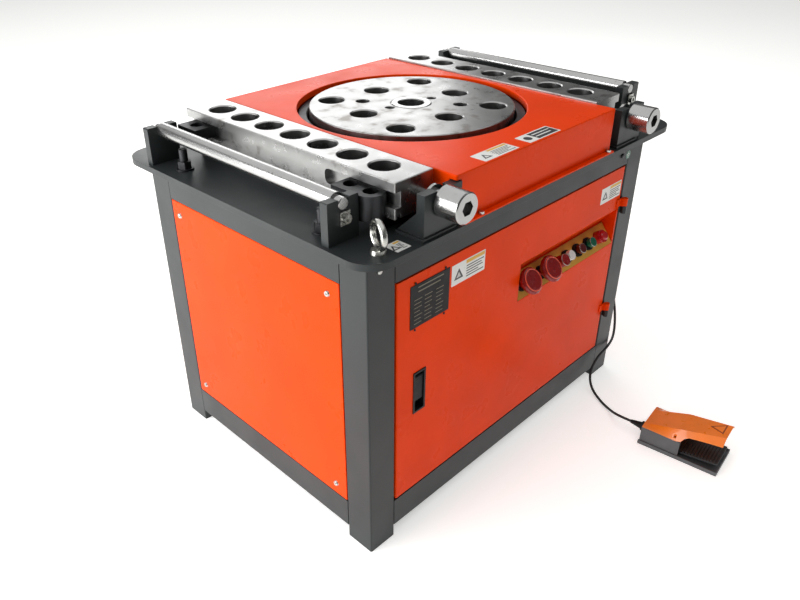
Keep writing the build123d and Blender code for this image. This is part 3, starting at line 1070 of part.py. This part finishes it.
# Glands: a threaded body with a hexagon, then a tapered strain relief.
HEX_R, RELIEF_R = 11.0, 8.0
gland_list = [
    (Plane(origin=(HALF_W, *GLAND_YZ), x_dir=(0, 1, 0), z_dir=(1, 0, 0)), SHEET),
    (Plane(origin=(MAINS_XZ[0], BACK, MAINS_XZ[1]), x_dir=(1, 0, 0), z_dir=(0, 1, 0)), SHEET),
    (Plane(origin=heel_seat, x_dir=pedal_plane.x_dir, z_dir=pedal_plane.y_dir), 0.0),
]

with BuildPart() as cable_glands:
    for seat, wall in gland_list:
        if wall:
            rod(seat.offset(-wall - 8), GLAND_HOLE_R, wall + 8)
        with BuildSketch(seat):
            RegularPolygon(HEX_R, 6)
        extrude(amount=GLAND_LEN)
        with BuildSketch(seat.offset(GLAND_LEN)):
            Circle(RELIEF_R)
        with BuildSketch(seat.offset(GLAND_LEN + RELIEF_LEN)):
            Circle(CORD_D / 2 + 1)
        loft()
    mains = gland_list[1][0]
    rod(mains.offset(GLAND_LEN), CORD_D / 2 + 0.5, RELIEF_LEN + 1, Mode.SUBTRACT)
cable_glands.part.label = "cable_glands"
export_step(cable_glands.part.moved(TO_ORIGIN), "parts/cable_glands.step")
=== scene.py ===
import json
import math

import bmesh
import bpy
from mathutils import Matrix, Vector


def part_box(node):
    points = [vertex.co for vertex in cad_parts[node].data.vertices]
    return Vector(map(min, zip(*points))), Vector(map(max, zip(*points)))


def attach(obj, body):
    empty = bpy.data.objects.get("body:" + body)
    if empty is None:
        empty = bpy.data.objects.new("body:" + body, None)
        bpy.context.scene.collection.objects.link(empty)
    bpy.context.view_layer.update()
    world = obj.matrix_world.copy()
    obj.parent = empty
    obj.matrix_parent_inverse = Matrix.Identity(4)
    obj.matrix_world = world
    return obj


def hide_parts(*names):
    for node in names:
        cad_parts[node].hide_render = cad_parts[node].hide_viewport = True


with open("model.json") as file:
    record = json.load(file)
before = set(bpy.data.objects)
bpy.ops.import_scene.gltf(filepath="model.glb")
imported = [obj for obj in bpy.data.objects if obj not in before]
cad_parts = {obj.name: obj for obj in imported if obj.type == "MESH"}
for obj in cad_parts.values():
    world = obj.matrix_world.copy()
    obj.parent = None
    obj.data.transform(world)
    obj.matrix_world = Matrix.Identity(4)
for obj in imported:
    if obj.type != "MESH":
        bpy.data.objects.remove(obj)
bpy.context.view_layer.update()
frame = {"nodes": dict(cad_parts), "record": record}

MM = 0.001
JOINTS = {joint["name"]: joint for joint in frame["record"]["behaviour"]["joints"]}
DISC_AXIS = Vector((*JOINTS["disc_spin"]["pos_m"][:2], 0))


def at(x, y, z):
    """A place in metres, from millimetres measured from the axis of the disc at floor level."""
    return DISC_AXIS + Vector((x, y, z)) * MM


# ---- camera ---------------------------------------------------------------------------------
CAMERA_PLACE = (-1069.9, -974.8, 1116.6)
AZIMUTH, ELEVATION, ROLL = -44.03, 30.34, -0.975
LENS, SENSOR_WIDTH = 33.57, 36.0
SHIFT_X, SHIFT_Y = 0.0407, -0.0118
NEAREST, FARTHEST = 0.05, 60

camera_data = bpy.data.cameras.new("camera")
camera_data.lens, camera_data.sensor_width = LENS, SENSOR_WIDTH
camera_data.shift_x, camera_data.shift_y = SHIFT_X, SHIFT_Y
camera_data.clip_start, camera_data.clip_end = NEAREST, FARTHEST
camera = bpy.data.objects.new("camera", camera_data)
bpy.context.scene.collection.objects.link(camera)
bpy.context.scene.camera = camera
camera.matrix_world = (Matrix.Translation(at(*CAMERA_PLACE))
                       @ Matrix.Rotation(math.radians(AZIMUTH), 4, "Z")
                       @ Matrix.Rotation(math.radians(90 - ELEVATION), 4, "X")
                       @ Matrix.Rotation(math.radians(ROLL), 4, "Z"))

# ---- the pedal's cord -----------------------------------------------------------------------
CORD_D = 0.006
BEVEL = 1.0     # the points' radii scale it, so that the curve's own box stays tight
CORD_ROUTE = [
    (446, -205, 232), (484, -205, 232), (514, -216, 196), (506, -242, 144), (480, -269, 100),
    (442, -291, 70), (390, -304, 70), (340, -307, 68), (307, -309, 40), (296, -324, 8),
    (271, -366, 3.3), (255.3, -398.9, 6), (234.3, -427.3, 20), (237.6, -458.2, 20),
]

cord_curve = bpy.data.curves.new("foot_pedal_cord", "CURVE")
cord_curve.dimensions = "3D"
cord_curve.bevel_depth, cord_curve.bevel_resolution = BEVEL, 5
cord_curve.resolution_u = 16
cord_line = cord_curve.splines.new("NURBS")
cord_line.points.add(len(CORD_ROUTE) - 1)
for point, place in zip(cord_line.points, CORD_ROUTE):
    point.co = (*at(*place), 1)
    point.radius = CORD_D / 2 / BEVEL
cord_line.order_u = 3
cord_line.use_endpoint_u = True
cord = bpy.data.objects.new("foot_pedal_cord", cord_curve)
bpy.context.scene.collection.objects.link(cord)
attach(cord, "cabinet")
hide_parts("pedal_cord")


# ---- materials ------------------------------------------------------------------------------
MIX_FACTOR, MIX_A, MIX_B, MIX_COLOUR = 0, 6, 7, 2       # the colour sockets of a Mix node


class Look:
    """A procedural material, worked out from noise at the surface's own place."""

    def __init__(self, name, **sockets):
        self.material = bpy.data.materials.new(name)
        self.material.use_nodes = True
        self.tree = self.material.node_tree
        self.shader = self.tree.nodes["Principled BSDF"]
        for socket, value in sockets.items():
            self.shader.inputs[socket.replace("_", " ")].default_value = value
        self.place = self.node("ShaderNodeTexCoord").outputs["Object"]

    def node(self, kind, **settings):
        node = self.tree.nodes.new(kind)
        for setting, value in settings.items():
            setattr(node, setting, value)
        return node

    def join(self, source, target):
        self.tree.links.new(source, target)

    def noise(self, size, detail=3.0, stretch=(1, 1, 1)):
        """Noise from 0 to 1, in blotches of about `size` metres."""
        mapping = self.node("ShaderNodeMapping")
        mapping.inputs["Scale"].default_value = stretch
        noise = self.node("ShaderNodeTexNoise")
        noise.inputs["Scale"].default_value = 1 / size
        noise.inputs["Detail"].default_value = detail
        self.join(self.place, mapping.inputs["Vector"])
        self.join(mapping.outputs["Vector"], noise.inputs["Vector"])
        return noise.outputs["Fac"]

    def ramp(self, source, first, *others):
        """The source's value through (position, colour or grey) stops."""
        ramp = self.node("ShaderNodeValToRGB")
        elements = ramp.color_ramp.elements
        elements.remove(elements[1])
        elements[0].position = first[0]
        for stop in others:
            elements.new(stop[0])
        for element, (_, colour) in zip(elements, (first, *others)):
            element.color = (*colour, 1) if isinstance(colour, tuple) else (colour,) * 3 + (1,)
        self.join(source, ramp.inputs["Fac"])
        return ramp.outputs["Color"]

    def mix(self, factor, first, second):
        """The first colour turning into the second as the factor goes from 0 to 1."""
        mix = self.node("ShaderNodeMix", data_type="RGBA")
        self.join(factor, mix.inputs[MIX_FACTOR])
        self.join(first, mix.inputs[MIX_A])
        mix.inputs[MIX_B].default_value = (*second, 1)
        return mix.outputs[MIX_COLOUR]

    def rounded(self, radius):
        """The normal with every sharp edge rounded off a little."""
        bevel = self.node("ShaderNodeBevel", samples=4)
        bevel.inputs["Radius"].default_value = radius
        return bevel.outputs["Normal"]

    def edges(self, radius, patch):
        """1 in patches along the edges and 0 on the flats."""
        dot = self.node("ShaderNodeVectorMath", operation="DOT_PRODUCT")
        self.join(self.rounded(radius), dot.inputs[0])
        self.join(self.node("ShaderNodeNewGeometry").outputs["Normal"], dot.inputs[1])
        sharp = self.ramp(dot.outputs["Value"], (0.86, 1.0), (0.97, 0.0))
        worn = self.ramp(self.noise(patch, 4), (0.48, 0.0), (0.6, 1.0))
        product = self.node("ShaderNodeMath", operation="MULTIPLY")
        self.join(sharp, product.inputs[0])
        self.join(worn, product.inputs[1])
        return product.outputs["Value"]

    def finish(self, colour, roughness, height, depth, radius=0.0008):
        """Wires colour, roughness and bump, with `depth` the bump's full height in metres."""
        bump = self.node("ShaderNodeBump")
        bump.inputs["Distance"].default_value = depth
        self.join(height, bump.inputs["Height"])
        self.join(self.rounded(radius), bump.inputs["Normal"])
        self.join(colour, self.shader.inputs["Base Color"])
        self.join(roughness, self.shader.inputs["Roughness"])
        self.join(bump.outputs["Normal"], self.shader.inputs["Normal"])
        return self.material


def shade(colour, factor):
    """The colour made darker or lighter, and no lighter than white."""
    return tuple(min(1.0, channel * factor) for channel in colour)


def painted(name, colour, rough, shine, grain=0.004, depth=0.00004, chip=(0.03, 0.028, 0.026)):
    """Sprayed enamel: a faint orange peel, cloudy colour, and chips along the edges."""
    look = Look(name, Specular_IOR_Level=shine)
    cloud = look.ramp(look.noise(0.16), (0.3, shade(colour, 0.9)), (0.7, shade(colour, 1.06)))
    dusty = look.mix(look.ramp(look.noise(0.02, 6), (0.55, 0.0), (0.8, 0.12)), cloud,
                     shade(colour, 0.6))
    chipped = look.mix(look.edges(0.0012, 0.012), dusty, chip)
    gloss = look.ramp(look.noise(0.07, 5), (0.3, rough - 0.05), (0.75, rough + 0.09))
    return look.finish(chipped, gloss, look.noise(grain, 2), depth)


def metal(name, colour, rough, stain, stretch=(1, 1, 1), stain_size=0.05, stained=0.6,
          scratch=0.0012, depth=0.000002, radius=0.0006, patchy=0.06):
    """Bare machined steel: tool marks drawn out along `stretch`, and oily stains."""
    look = Look(name, Metallic=1.0)
    marks = look.ramp(look.noise(scratch, 4, stretch), (0.3, shade(colour, 0.8)),
                      (0.7, shade(colour, 1.12)))
    cloud = look.mix(look.ramp(look.noise(0.11, 4), (0.35, 0.0), (0.7, 0.5)), marks,
                     shade(colour, 0.7))
    spots = look.ramp(look.noise(stain_size, 6), (stained, 0.0), (stained + 0.12, 0.75))
    dirty = look.mix(spots, cloud, stain)
    edge = look.mix(look.edges(0.001, 0.02), dirty, shade(colour, 1.3))
    gloss = look.ramp(look.noise(0.03, 5), (0.3, rough - patchy), (0.7, rough + patchy))
    return look.finish(edge, gloss, look.noise(scratch, 4, stretch), depth, radius)


def moulded(name, colour, rough, grain=0.0009, depth=0.00002, variety=0.12, **sockets):
    """Moulded plastic or rubber: fine grain, scuffs that catch the light, and dust."""
    look = Look(name, **sockets)
    cloud = look.ramp(look.noise(0.03, 5), (0.3, shade(colour, 1 - variety)),
                      (0.7, shade(colour, 1 + variety)))
    scuffed = look.mix(look.edges(0.0008, 0.006), cloud, shade(colour, 1.5))
    gloss = look.ramp(look.noise(0.012, 5), (0.3, max(0.05, rough - 0.08)), (0.7, rough + 0.1))
    return look.finish(scuffed, gloss, look.noise(grain, 2), depth, 0.0005)


ORANGE, RED = (0.86, 0.052, 0.0), (0.26, 0.004, 0.004)
STEEL, OLD_OIL = (0.46, 0.46, 0.455), (0.16, 0.14, 0.12)

looks = {
    "frame_grey": painted("frame_grey", (0.024, 0.028, 0.029), 0.36, 0.3, 0.0025, 0.00008),
    "orange": painted("orange", ORANGE, 0.3, 0.06),
    "yellow": painted("yellow", (0.72, 0.38, 0.06), 0.42, 0.3),
    "ground_steel": metal("ground_steel", STEEL, 0.3, OLD_OIL, (9, 1, 9), 0.045, 0.6),
    "disc_steel": metal("disc_steel", (0.40, 0.40, 0.395), 0.32, OLD_OIL, (2, 7, 2), 0.03, 0.55),
    "turned_steel": metal("turned_steel", STEEL, 0.24, OLD_OIL, (9, 1, 9), 0.03, 0.66,
                          depth=0.0, radius=0.0002, patchy=0.01),
    "zinc": metal("zinc", (0.56, 0.56, 0.53), 0.26, (0.35, 0.33, 0.27), stain_size=0.01),
    "dark_steel": metal("dark_steel", (0.055, 0.056, 0.06), 0.42, (0.03, 0.025, 0.02)),
    "casting": painted("casting", (0.10, 0.115, 0.12), 0.5, 0.3, 0.006, 0.0003),
    "bronze": metal("bronze", (0.62, 0.40, 0.16), 0.3, (0.25, 0.15, 0.06)),
    "motor_grey": painted("motor_grey", (0.20, 0.23, 0.25), 0.4, 0.4, 0.004, 0.0001),
    "black_plastic": moulded("black_plastic", (0.008, 0.008, 0.009), 0.45,
                             Specular_IOR_Level=0.2),
    "grey_plastic": moulded("grey_plastic", (0.085, 0.09, 0.095), 0.45, 0.0012, 0.00006),
    "orange_plastic": moulded("orange_plastic", (0.90, 0.21, 0.012), 0.33, 0.0016, 0.00004,
                              0.06, Coat_Weight=0.2),
    # darker orange, for the painted shade round the raised triangle on the pedal's hood
    "orange_painted_shade": moulded("orange_painted_shade", (0.28, 0.05, 0.004), 0.4),
    # a light copy of the caps' red, for the painted highlight along the stop caps' rims
    "red_painted_highlight": moulded("red_painted_highlight", (0.85, 0.10, 0.05), 0.2, variety=0.06, Coat_Weight=0.4),
    "rubber": moulded("rubber", (0.022, 0.023, 0.025), 0.6, 0.0015, 0.00012),
    "belt": moulded("belt", (0.02, 0.02, 0.02), 0.75, 0.001, 0.0001),
    "cord": moulded("cord", (0.016, 0.016, 0.017), 0.5, 0.0015, 0.00005),
    "red_plastic": moulded("red_plastic", RED, 0.25, variety=0.08, Coat_Weight=0.1),
    "dark_red_plastic": moulded("dark_red_plastic", (0.10, 0.004, 0.003), 0.2, Coat_Weight=0.2),
    "green_plastic": moulded("green_plastic", (0.004, 0.13, 0.07), 0.2, Coat_Weight=0.2),
    "white_plastic": moulded("white_plastic", (0.86, 0.86, 0.84), 0.25, variety=0.03,
                             Coat_Weight=0.3),
    "lamp_lens": moulded("lamp_lens", (0.45, 0.006, 0.012), 0.18, variety=0.06, Coat_Weight=0.3),
}

slots = {subpart["node"]: subpart["material_slot"] for subpart in frame["record"]["subparts"]}
for name, slot in slots.items():
    node = frame["nodes"][name]
    node.data.materials.clear()
    node.data.materials.append(looks[slot])
frame["nodes"]["bending_disc"].data.materials[0] = looks["disc_steel"]
frame["nodes"]["centre_bush"].data.materials[0] = looks["turned_steel"]
cord_curve.materials.append(looks["cord"])


def film(name, colour):
    """Printed film, smooth and half glossy."""
    return moulded(name, colour, 0.35, 0.002, 0.00001, 0.05)


film_white = film("film_white", (0.80, 0.80, 0.77))
film_yellow = film("film_yellow", (0.75, 0.42, 0.03))
film_dark = film("film_dark", (0.03, 0.03, 0.035))
film_gold = film("film_gold", (0.16, 0.14, 0.09))


# ---- small flat pieces ----------------------------------------------------------------------
FILM, PRINT, OVERPRINT = (0.05, 0.2), (0.2, 0.27), (0.27, 0.32)     # heights off the surface, mm


def piece(name, mesh, body, slot, *materials):
    """Makes an object of the mesh, that rides on a body."""
    data = bpy.data.meshes.new(name)
    bmesh.ops.recalc_face_normals(mesh, faces=mesh.faces)
    mesh.to_mesh(data)
    mesh.free()
    for material in materials:
        data.materials.append(material)
    thing = bpy.data.objects.new(name, data)
    bpy.context.scene.collection.objects.link(thing)
    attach(thing, body)
    return thing


def slab(mesh, plane, outline, low, high, material=0):
    """Adds a prism on the plane (origin, across, up), from `low` to `high` above it, in mm."""
    origin, across, up = plane
    out = across.cross(up)
    rings = [[mesh.verts.new(origin + (across * x + up * y + out * z) * MM)
              for x, y in outline] for z in (low, high)]
    faces = [mesh.faces.new(reversed(rings[0])), mesh.faces.new(rings[1])]
    for i in range(len(outline)):
        j = (i + 1) % len(outline)
        faces.append(mesh.faces.new((rings[0][i], rings[0][j], rings[1][j], rings[1][i])))
    for face in faces:
        face.material_index = material


def rounded_box(x0, y0, x1, y1, radius, steps=5):
    """The outline of a rectangle with round corners."""
    outline = []
    for turn, (x, y) in enumerate(((x1 - radius, y0 + radius), (x1 - radius, y1 - radius),
                                   (x0 + radius, y1 - radius), (x0 + radius, y0 + radius))):
        for step in range(steps + 1):
            angle = math.radians(90 * (turn - 1 + step / steps))
            outline.append((x + radius * math.cos(angle), y + radius * math.sin(angle)))
    return outline


def bars(mesh, plane, x0, x1, top, bottom, count, thick, material, layer=PRINT):
    """Plain printed bars of uneven length, that stand for lines of text."""
    for i in range(count):
        y = top - (top - bottom) * (i + 0.5) / count
        end = x1 - (x1 - x0) * (0.0, 0.12, 0.05, 0.3)[i % 4]
        slab(mesh, plane, rounded_box(x0, y - thick / 2, end, y + thick / 2, thick / 3, 2),
             *layer, material)


def ring_outline(radius, sides=32):
    """The outline of a disc."""
    return [(radius * math.cos(2 * math.pi * i / sides), radius * math.sin(2 * math.pi * i / sides))
            for i in range(sides)]


def sticker(name, body, origin, across, up, width, height, mark=0.42):
    """A printed film: a plain mark on the left, a yellow band and bars on the right."""
    mesh = bmesh.new()
    plane = (origin, Vector(across), Vector(up))
    slab(mesh, plane, rounded_box(0, 0, width, height, 1.5), *FILM, 0)
    middle, side = width * mark / 2, height * 0.3
    slab(mesh, plane, [(middle - side, height * 0.24), (middle + side, height * 0.24),
                       (middle, height * 0.24 + side * 1.7)], *PRINT, 2)
    slab(mesh, plane, [(middle - side * 0.5, height * 0.32), (middle + side * 0.5, height * 0.32),
                       (middle, height * 0.32 + side * 0.85)], *OVERPRINT, 0)
    left = width * mark
    slab(mesh, plane, rounded_box(left, height * 0.78, width - 2, height - 2, 0.5), *PRINT, 1)
    bars(mesh, plane, left + 1, width - 4, height * 0.72, height * 0.1, 5, height * 0.05, 2)
    return piece(name, mesh, body, "white_plastic", film_white, film_yellow, film_dark)


X, Y, Z = Vector((1, 0, 0)), Vector((0, 1, 0)), Vector((0, 0, 1))
DOOR_Y = (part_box("door_skin")[0][1] - DISC_AXIS.y) / MM
TABLE_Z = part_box("table_plate")[1][2] / MM
BED_Z = 694.0
RAIL_Y = (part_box("frame_rails")[0][1] - DISC_AXIS.y) / MM

sticker("door_sticker_left", "door", at(-215, DOOR_Y, 485), X, Z, 90, 40)
sticker("door_sticker_right", "door", at(262, DOOR_Y, 482), X, Z, 78, 35)
sticker("table_sticker", "cabinet", at(-360, -306, TABLE_Z), X, Y, 30, 29, 0.5)
sticker("bed_sticker_left", "cabinet", at(-155, -303, BED_Z), X, Y, 90, 33)

# The other sticker on the bed: a dot on a white tab, then a dark field with two pale bars.
dark_sticker = bmesh.new()
dark_plane = (at(-34, -303, BED_Z), X, Y)
slab(dark_sticker, dark_plane, rounded_box(0, 0, 92, 33, 1.5), *FILM, 0)
slab(dark_sticker, dark_plane, rounded_box(30, 3, 89, 30, 1.0), *PRINT, 1)
bars(dark_sticker, dark_plane, 34, 84, 26, 8, 2, 3.0, 0, OVERPRINT)
slab(dark_sticker, dark_plane, [(x + 15, y + 16) for x, y in ring_outline(8)], *PRINT, 1)
piece("bed_sticker_right", dark_sticker, "cabinet", "white_plastic", film_white, film_dark)

# Earth mark on the front rail: a round green film with a stem and three bars in white.
earth = bmesh.new()
earth_plane = (at(350, RAIL_Y, 569), X, Z)
slab(earth, earth_plane, ring_outline(9), *FILM, 0)
for width, height in ((10, 1.0), (6.5, -2.0), (3, -5.0)):
    slab(earth, earth_plane, rounded_box(-width / 2, height - 0.7, width / 2, height + 0.7, 0.3),
         *PRINT, 1)
slab(earth, earth_plane, rounded_box(-0.7, 1.0, 0.7, 6.5, 0.3), *PRINT, 1)
piece("earth_mark", earth, "cabinet", "yellow", looks["green_plastic"], film_white)

# Ruled lines on the data plate.
plate_low, plate_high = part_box("data_plate")
PLATE_W, PLATE_H = ((plate_high[i] - plate_low[i]) / MM for i in (0, 2))
PLATE_FACE, RULE = 1.0 - 0.12, (0.0, 0.12)      # behind the screws' heads, and a rule's height
rules = bmesh.new()
plate_plane = (Vector((plate_low[0], plate_low[1] + PLATE_FACE * MM, plate_low[2])), X, Z)
bars(rules, plate_plane, 18, PLATE_W - 16, PLATE_H - 8, PLATE_H - 24, 2, 2.2, 0, RULE)
for column in (9, 34, 62):
    bars(rules, plate_plane, column, column + 19, PLATE_H - 30, 10, 7, 1.3, 0, RULE)
piece("data_plate_rules", rules, "door", "yellow", film_gold)


# The raised triangle on the pedal's hood. A wider, lower triangle in darker orange shows as a band
# round it: painted shade along the raised triangle's sides.
PEDAL_PLACE, PEDAL_TURN = (250, -489), math.radians(6.2)
turn = Matrix.Rotation(PEDAL_TURN, 3, "Z")
HOOD_RISE = Vector((0, 88, -18)).normalized()
triangle = bmesh.new()
hood_plane = (at(*PEDAL_PLACE, 0) + turn @ Vector((5, -146, 82.5)) * MM, turn @ X, turn @ HOOD_RISE)
# painted shade: the lower, wider triangle in darker orange, seen as a dark band round the raised
# one
slab(triangle, hood_plane, [(-17, -7), (17, -7), (0, 23)], 0.0, 0.5)
slab(triangle, hood_plane, [(-12.5, -4.5), (12.5, -4.5), (0, 17.5)], 0.5, 0.62, 1)
piece("hood_triangle", triangle, "cabinet", "orange_plastic", looks["orange_painted_shade"],
      looks["orange_plastic"])


# ---- screws ---------------------------------------------------------------------------------
def dome_screw(name, place, out, radius, body, slot):
    """A domed screw head, standing out along `out`."""
    across = out.orthogonal().normalized()
    plane = (place, across, out.cross(across))
    mesh = bmesh.new()
    sides, rings = 24, [(1.0, 0.0), (1.0, 0.25), (0.9, 0.45), (0.62, 0.62), (0.3, 0.68)]
    loops = [[mesh.verts.new(place + (plane[1] * math.cos(2 * math.pi * i / sides) * share
                                      + plane[2] * math.sin(2 * math.pi * i / sides) * share
                                      + out * height) * radius * MM) for i in range(sides)]
             for share, height in rings]
    for low, high in zip(loops, loops[1:]):
        for i in range(sides):
            j = (i + 1) % sides
            mesh.faces.new((low[i], low[j], high[j], high[i]))
    mesh.faces.new(loops[0])
    mesh.faces.new(loops[-1])
    return piece(name, mesh, body, slot, looks[slot])


dome_screw("earth_screw", at(325, RAIL_Y, 573), -Y, 5.0, "cabinet", "dark_steel")
dome_screw("leg_screw", at(-385, RAIL_Y, 583), -Y, 4.5, "cabinet", "zinc")

# ---- rims of the controls, and painted highlights on the stop caps ----------------------------
BUTTONS = {"button_red": "red_button", "button_white": "white_button",
           "button_dark_red": "dark_red_button", "button_green": "green_button"}
OUTWARD = -Vector(JOINTS["stop_left_push"]["axis"])


def front_centre(node):
    """The middle of a control's front face, on its own axis."""
    points = [vertex.co for vertex in frame["nodes"][node].data.vertices]
    reach = max(point.dot(OUTWARD) for point in points)
    front = [point for point in points if point.dot(OUTWARD) > reach - 0.0002]
    return sum(front, Vector()) / len(front)


def ring(name, centre, out, radius, wire, body, slot, look, sides=48, wire_sides=10):
    """A round ring of round wire about `out`, in millimetres."""
    across = out.orthogonal().normalized()
    along = out.cross(across)
    mesh = bmesh.new()
    loops = []
    for i in range(sides):
        angle = 2 * math.pi * i / sides
        radial = across * math.cos(angle) + along * math.sin(angle)
        loops.append([mesh.verts.new(centre + (radial * (radius + wire * math.cos(turn))
                                               + out * wire * math.sin(turn)) * MM)
                      for turn in (2 * math.pi * k / wire_sides for k in range(wire_sides))])
    for i in range(sides):
        for k in range(wire_sides):
            j, m = (i + 1) % sides, (k + 1) % wire_sides
            mesh.faces.new((loops[i][k], loops[j][k], loops[j][m], loops[i][m]))
    thing = piece(name, mesh, body, slot, look)
    for polygon in thing.data.polygons:
        polygon.use_smooth = True
    return thing


CAP_FRONT, CAP_RIM, CAP_WIRE = 1.6, 21.5, 1.3
BUTTON_FRONT, BUTTON_WIRE, BUTTON_RIM, WIDE_BUTTON_RIM = 1.0, 0.7, 9.9, 11.9
# On each stop cap, a light red ring along its edge is a painted highlight: it stands in for the
# light the cap's rim catches.
for side in ("left", "right"):
    ring(f"stop_rim_painted_highlight_{side}", front_centre(f"estop_{side}") - OUTWARD * CAP_FRONT * MM, OUTWARD,
         CAP_RIM, CAP_WIRE, f"stop_{side}", "red_plastic", looks["red_painted_highlight"])
for node, body in BUTTONS.items():
    ring(f"{node}_rim", front_centre(node) - OUTWARD * BUTTON_FRONT * MM, OUTWARD,
         WIDE_BUTTON_RIM if node == "button_red" else BUTTON_RIM, BUTTON_WIRE, body, "zinc",
         looks["zinc"])

# ---- floor and light ------------------------------------------------------------------------
FLOOR_HALF, FLOOR_GLOW = 9.0, 0.5
STUDIO_WHITE = (1.0, 1.0, 0.985, 1)
floor_mesh = bpy.data.meshes.new("floor")
floor_mesh.from_pydata([(x * FLOOR_HALF, y * FLOOR_HALF, 0) for x, y in
                        ((-1, -1), (1, -1), (1, 1), (-1, 1))], [], [(0, 1, 2, 3)])
floor = bpy.data.objects.new("floor", floor_mesh)
bpy.context.scene.collection.objects.link(floor)
floor_look = Look("floor", Specular_IOR_Level=0.0, Emission_Color=STUDIO_WHITE,
                  Emission_Strength=FLOOR_GLOW)
floor_mesh.materials.append(floor_look.finish(
    floor_look.ramp(floor_look.noise(1.5), (0.3, (0.90, 0.90, 0.88)), (0.7, (0.92, 0.92, 0.90))),
    floor_look.ramp(floor_look.noise(0.4), (0.3, 0.6), (0.7, 0.7)),
    floor_look.noise(0.01), 0.0001))

# The studio's far walls are seen nearly white, and add only a little light.
WALL_SEEN, WALL_LIGHT = 0.9, 0.12
world = bpy.data.worlds.new("studio")
world.use_nodes = True
walls = world.node_tree
walls.nodes["Background"].inputs["Color"].default_value = STUDIO_WHITE
strength = walls.nodes.new("ShaderNodeMapRange")
strength.inputs["To Min"].default_value = WALL_LIGHT
strength.inputs["To Max"].default_value = WALL_SEEN
walls.links.new(walls.nodes.new("ShaderNodeLightPath").outputs["Is Camera Ray"],
                strength.inputs["Value"])
walls.links.new(strength.outputs["Result"], walls.nodes["Background"].inputs["Strength"])
bpy.context.scene.world = world


def soft_light(name, place, target, width, height, power):
    """A softbox of width by height metres that faces the target, in watts."""
    data = bpy.data.lights.new(name, "AREA")
    data.shape, data.size, data.size_y, data.energy = "RECTANGLE", width, height, power
    light = bpy.data.objects.new(name, data)
    bpy.context.scene.collection.objects.link(light)
    light.location = place
    light.rotation_euler = (Vector(target) - Vector(place)).to_track_quat("-Z", "Y").to_euler()


soft_light("key", (-3.0, 1.2, 1.1), (-0.3, 0, 0.4), 2.6, 1.8, 135)
soft_light("top", (0, 1.6, 3.8), (0, 1.6, 0), 8.0, 8.0, 190)
soft_light("back", (1.8, 3.0, 1.7), (0, 0.2, 0.7), 2.4, 1.3, 26)
soft_light("front", (1.6, -3.0, 1.6), (0, -0.2, 0.3), 1.6, 1.2, 2)

bpy.context.scene.view_settings.view_transform = "Standard"
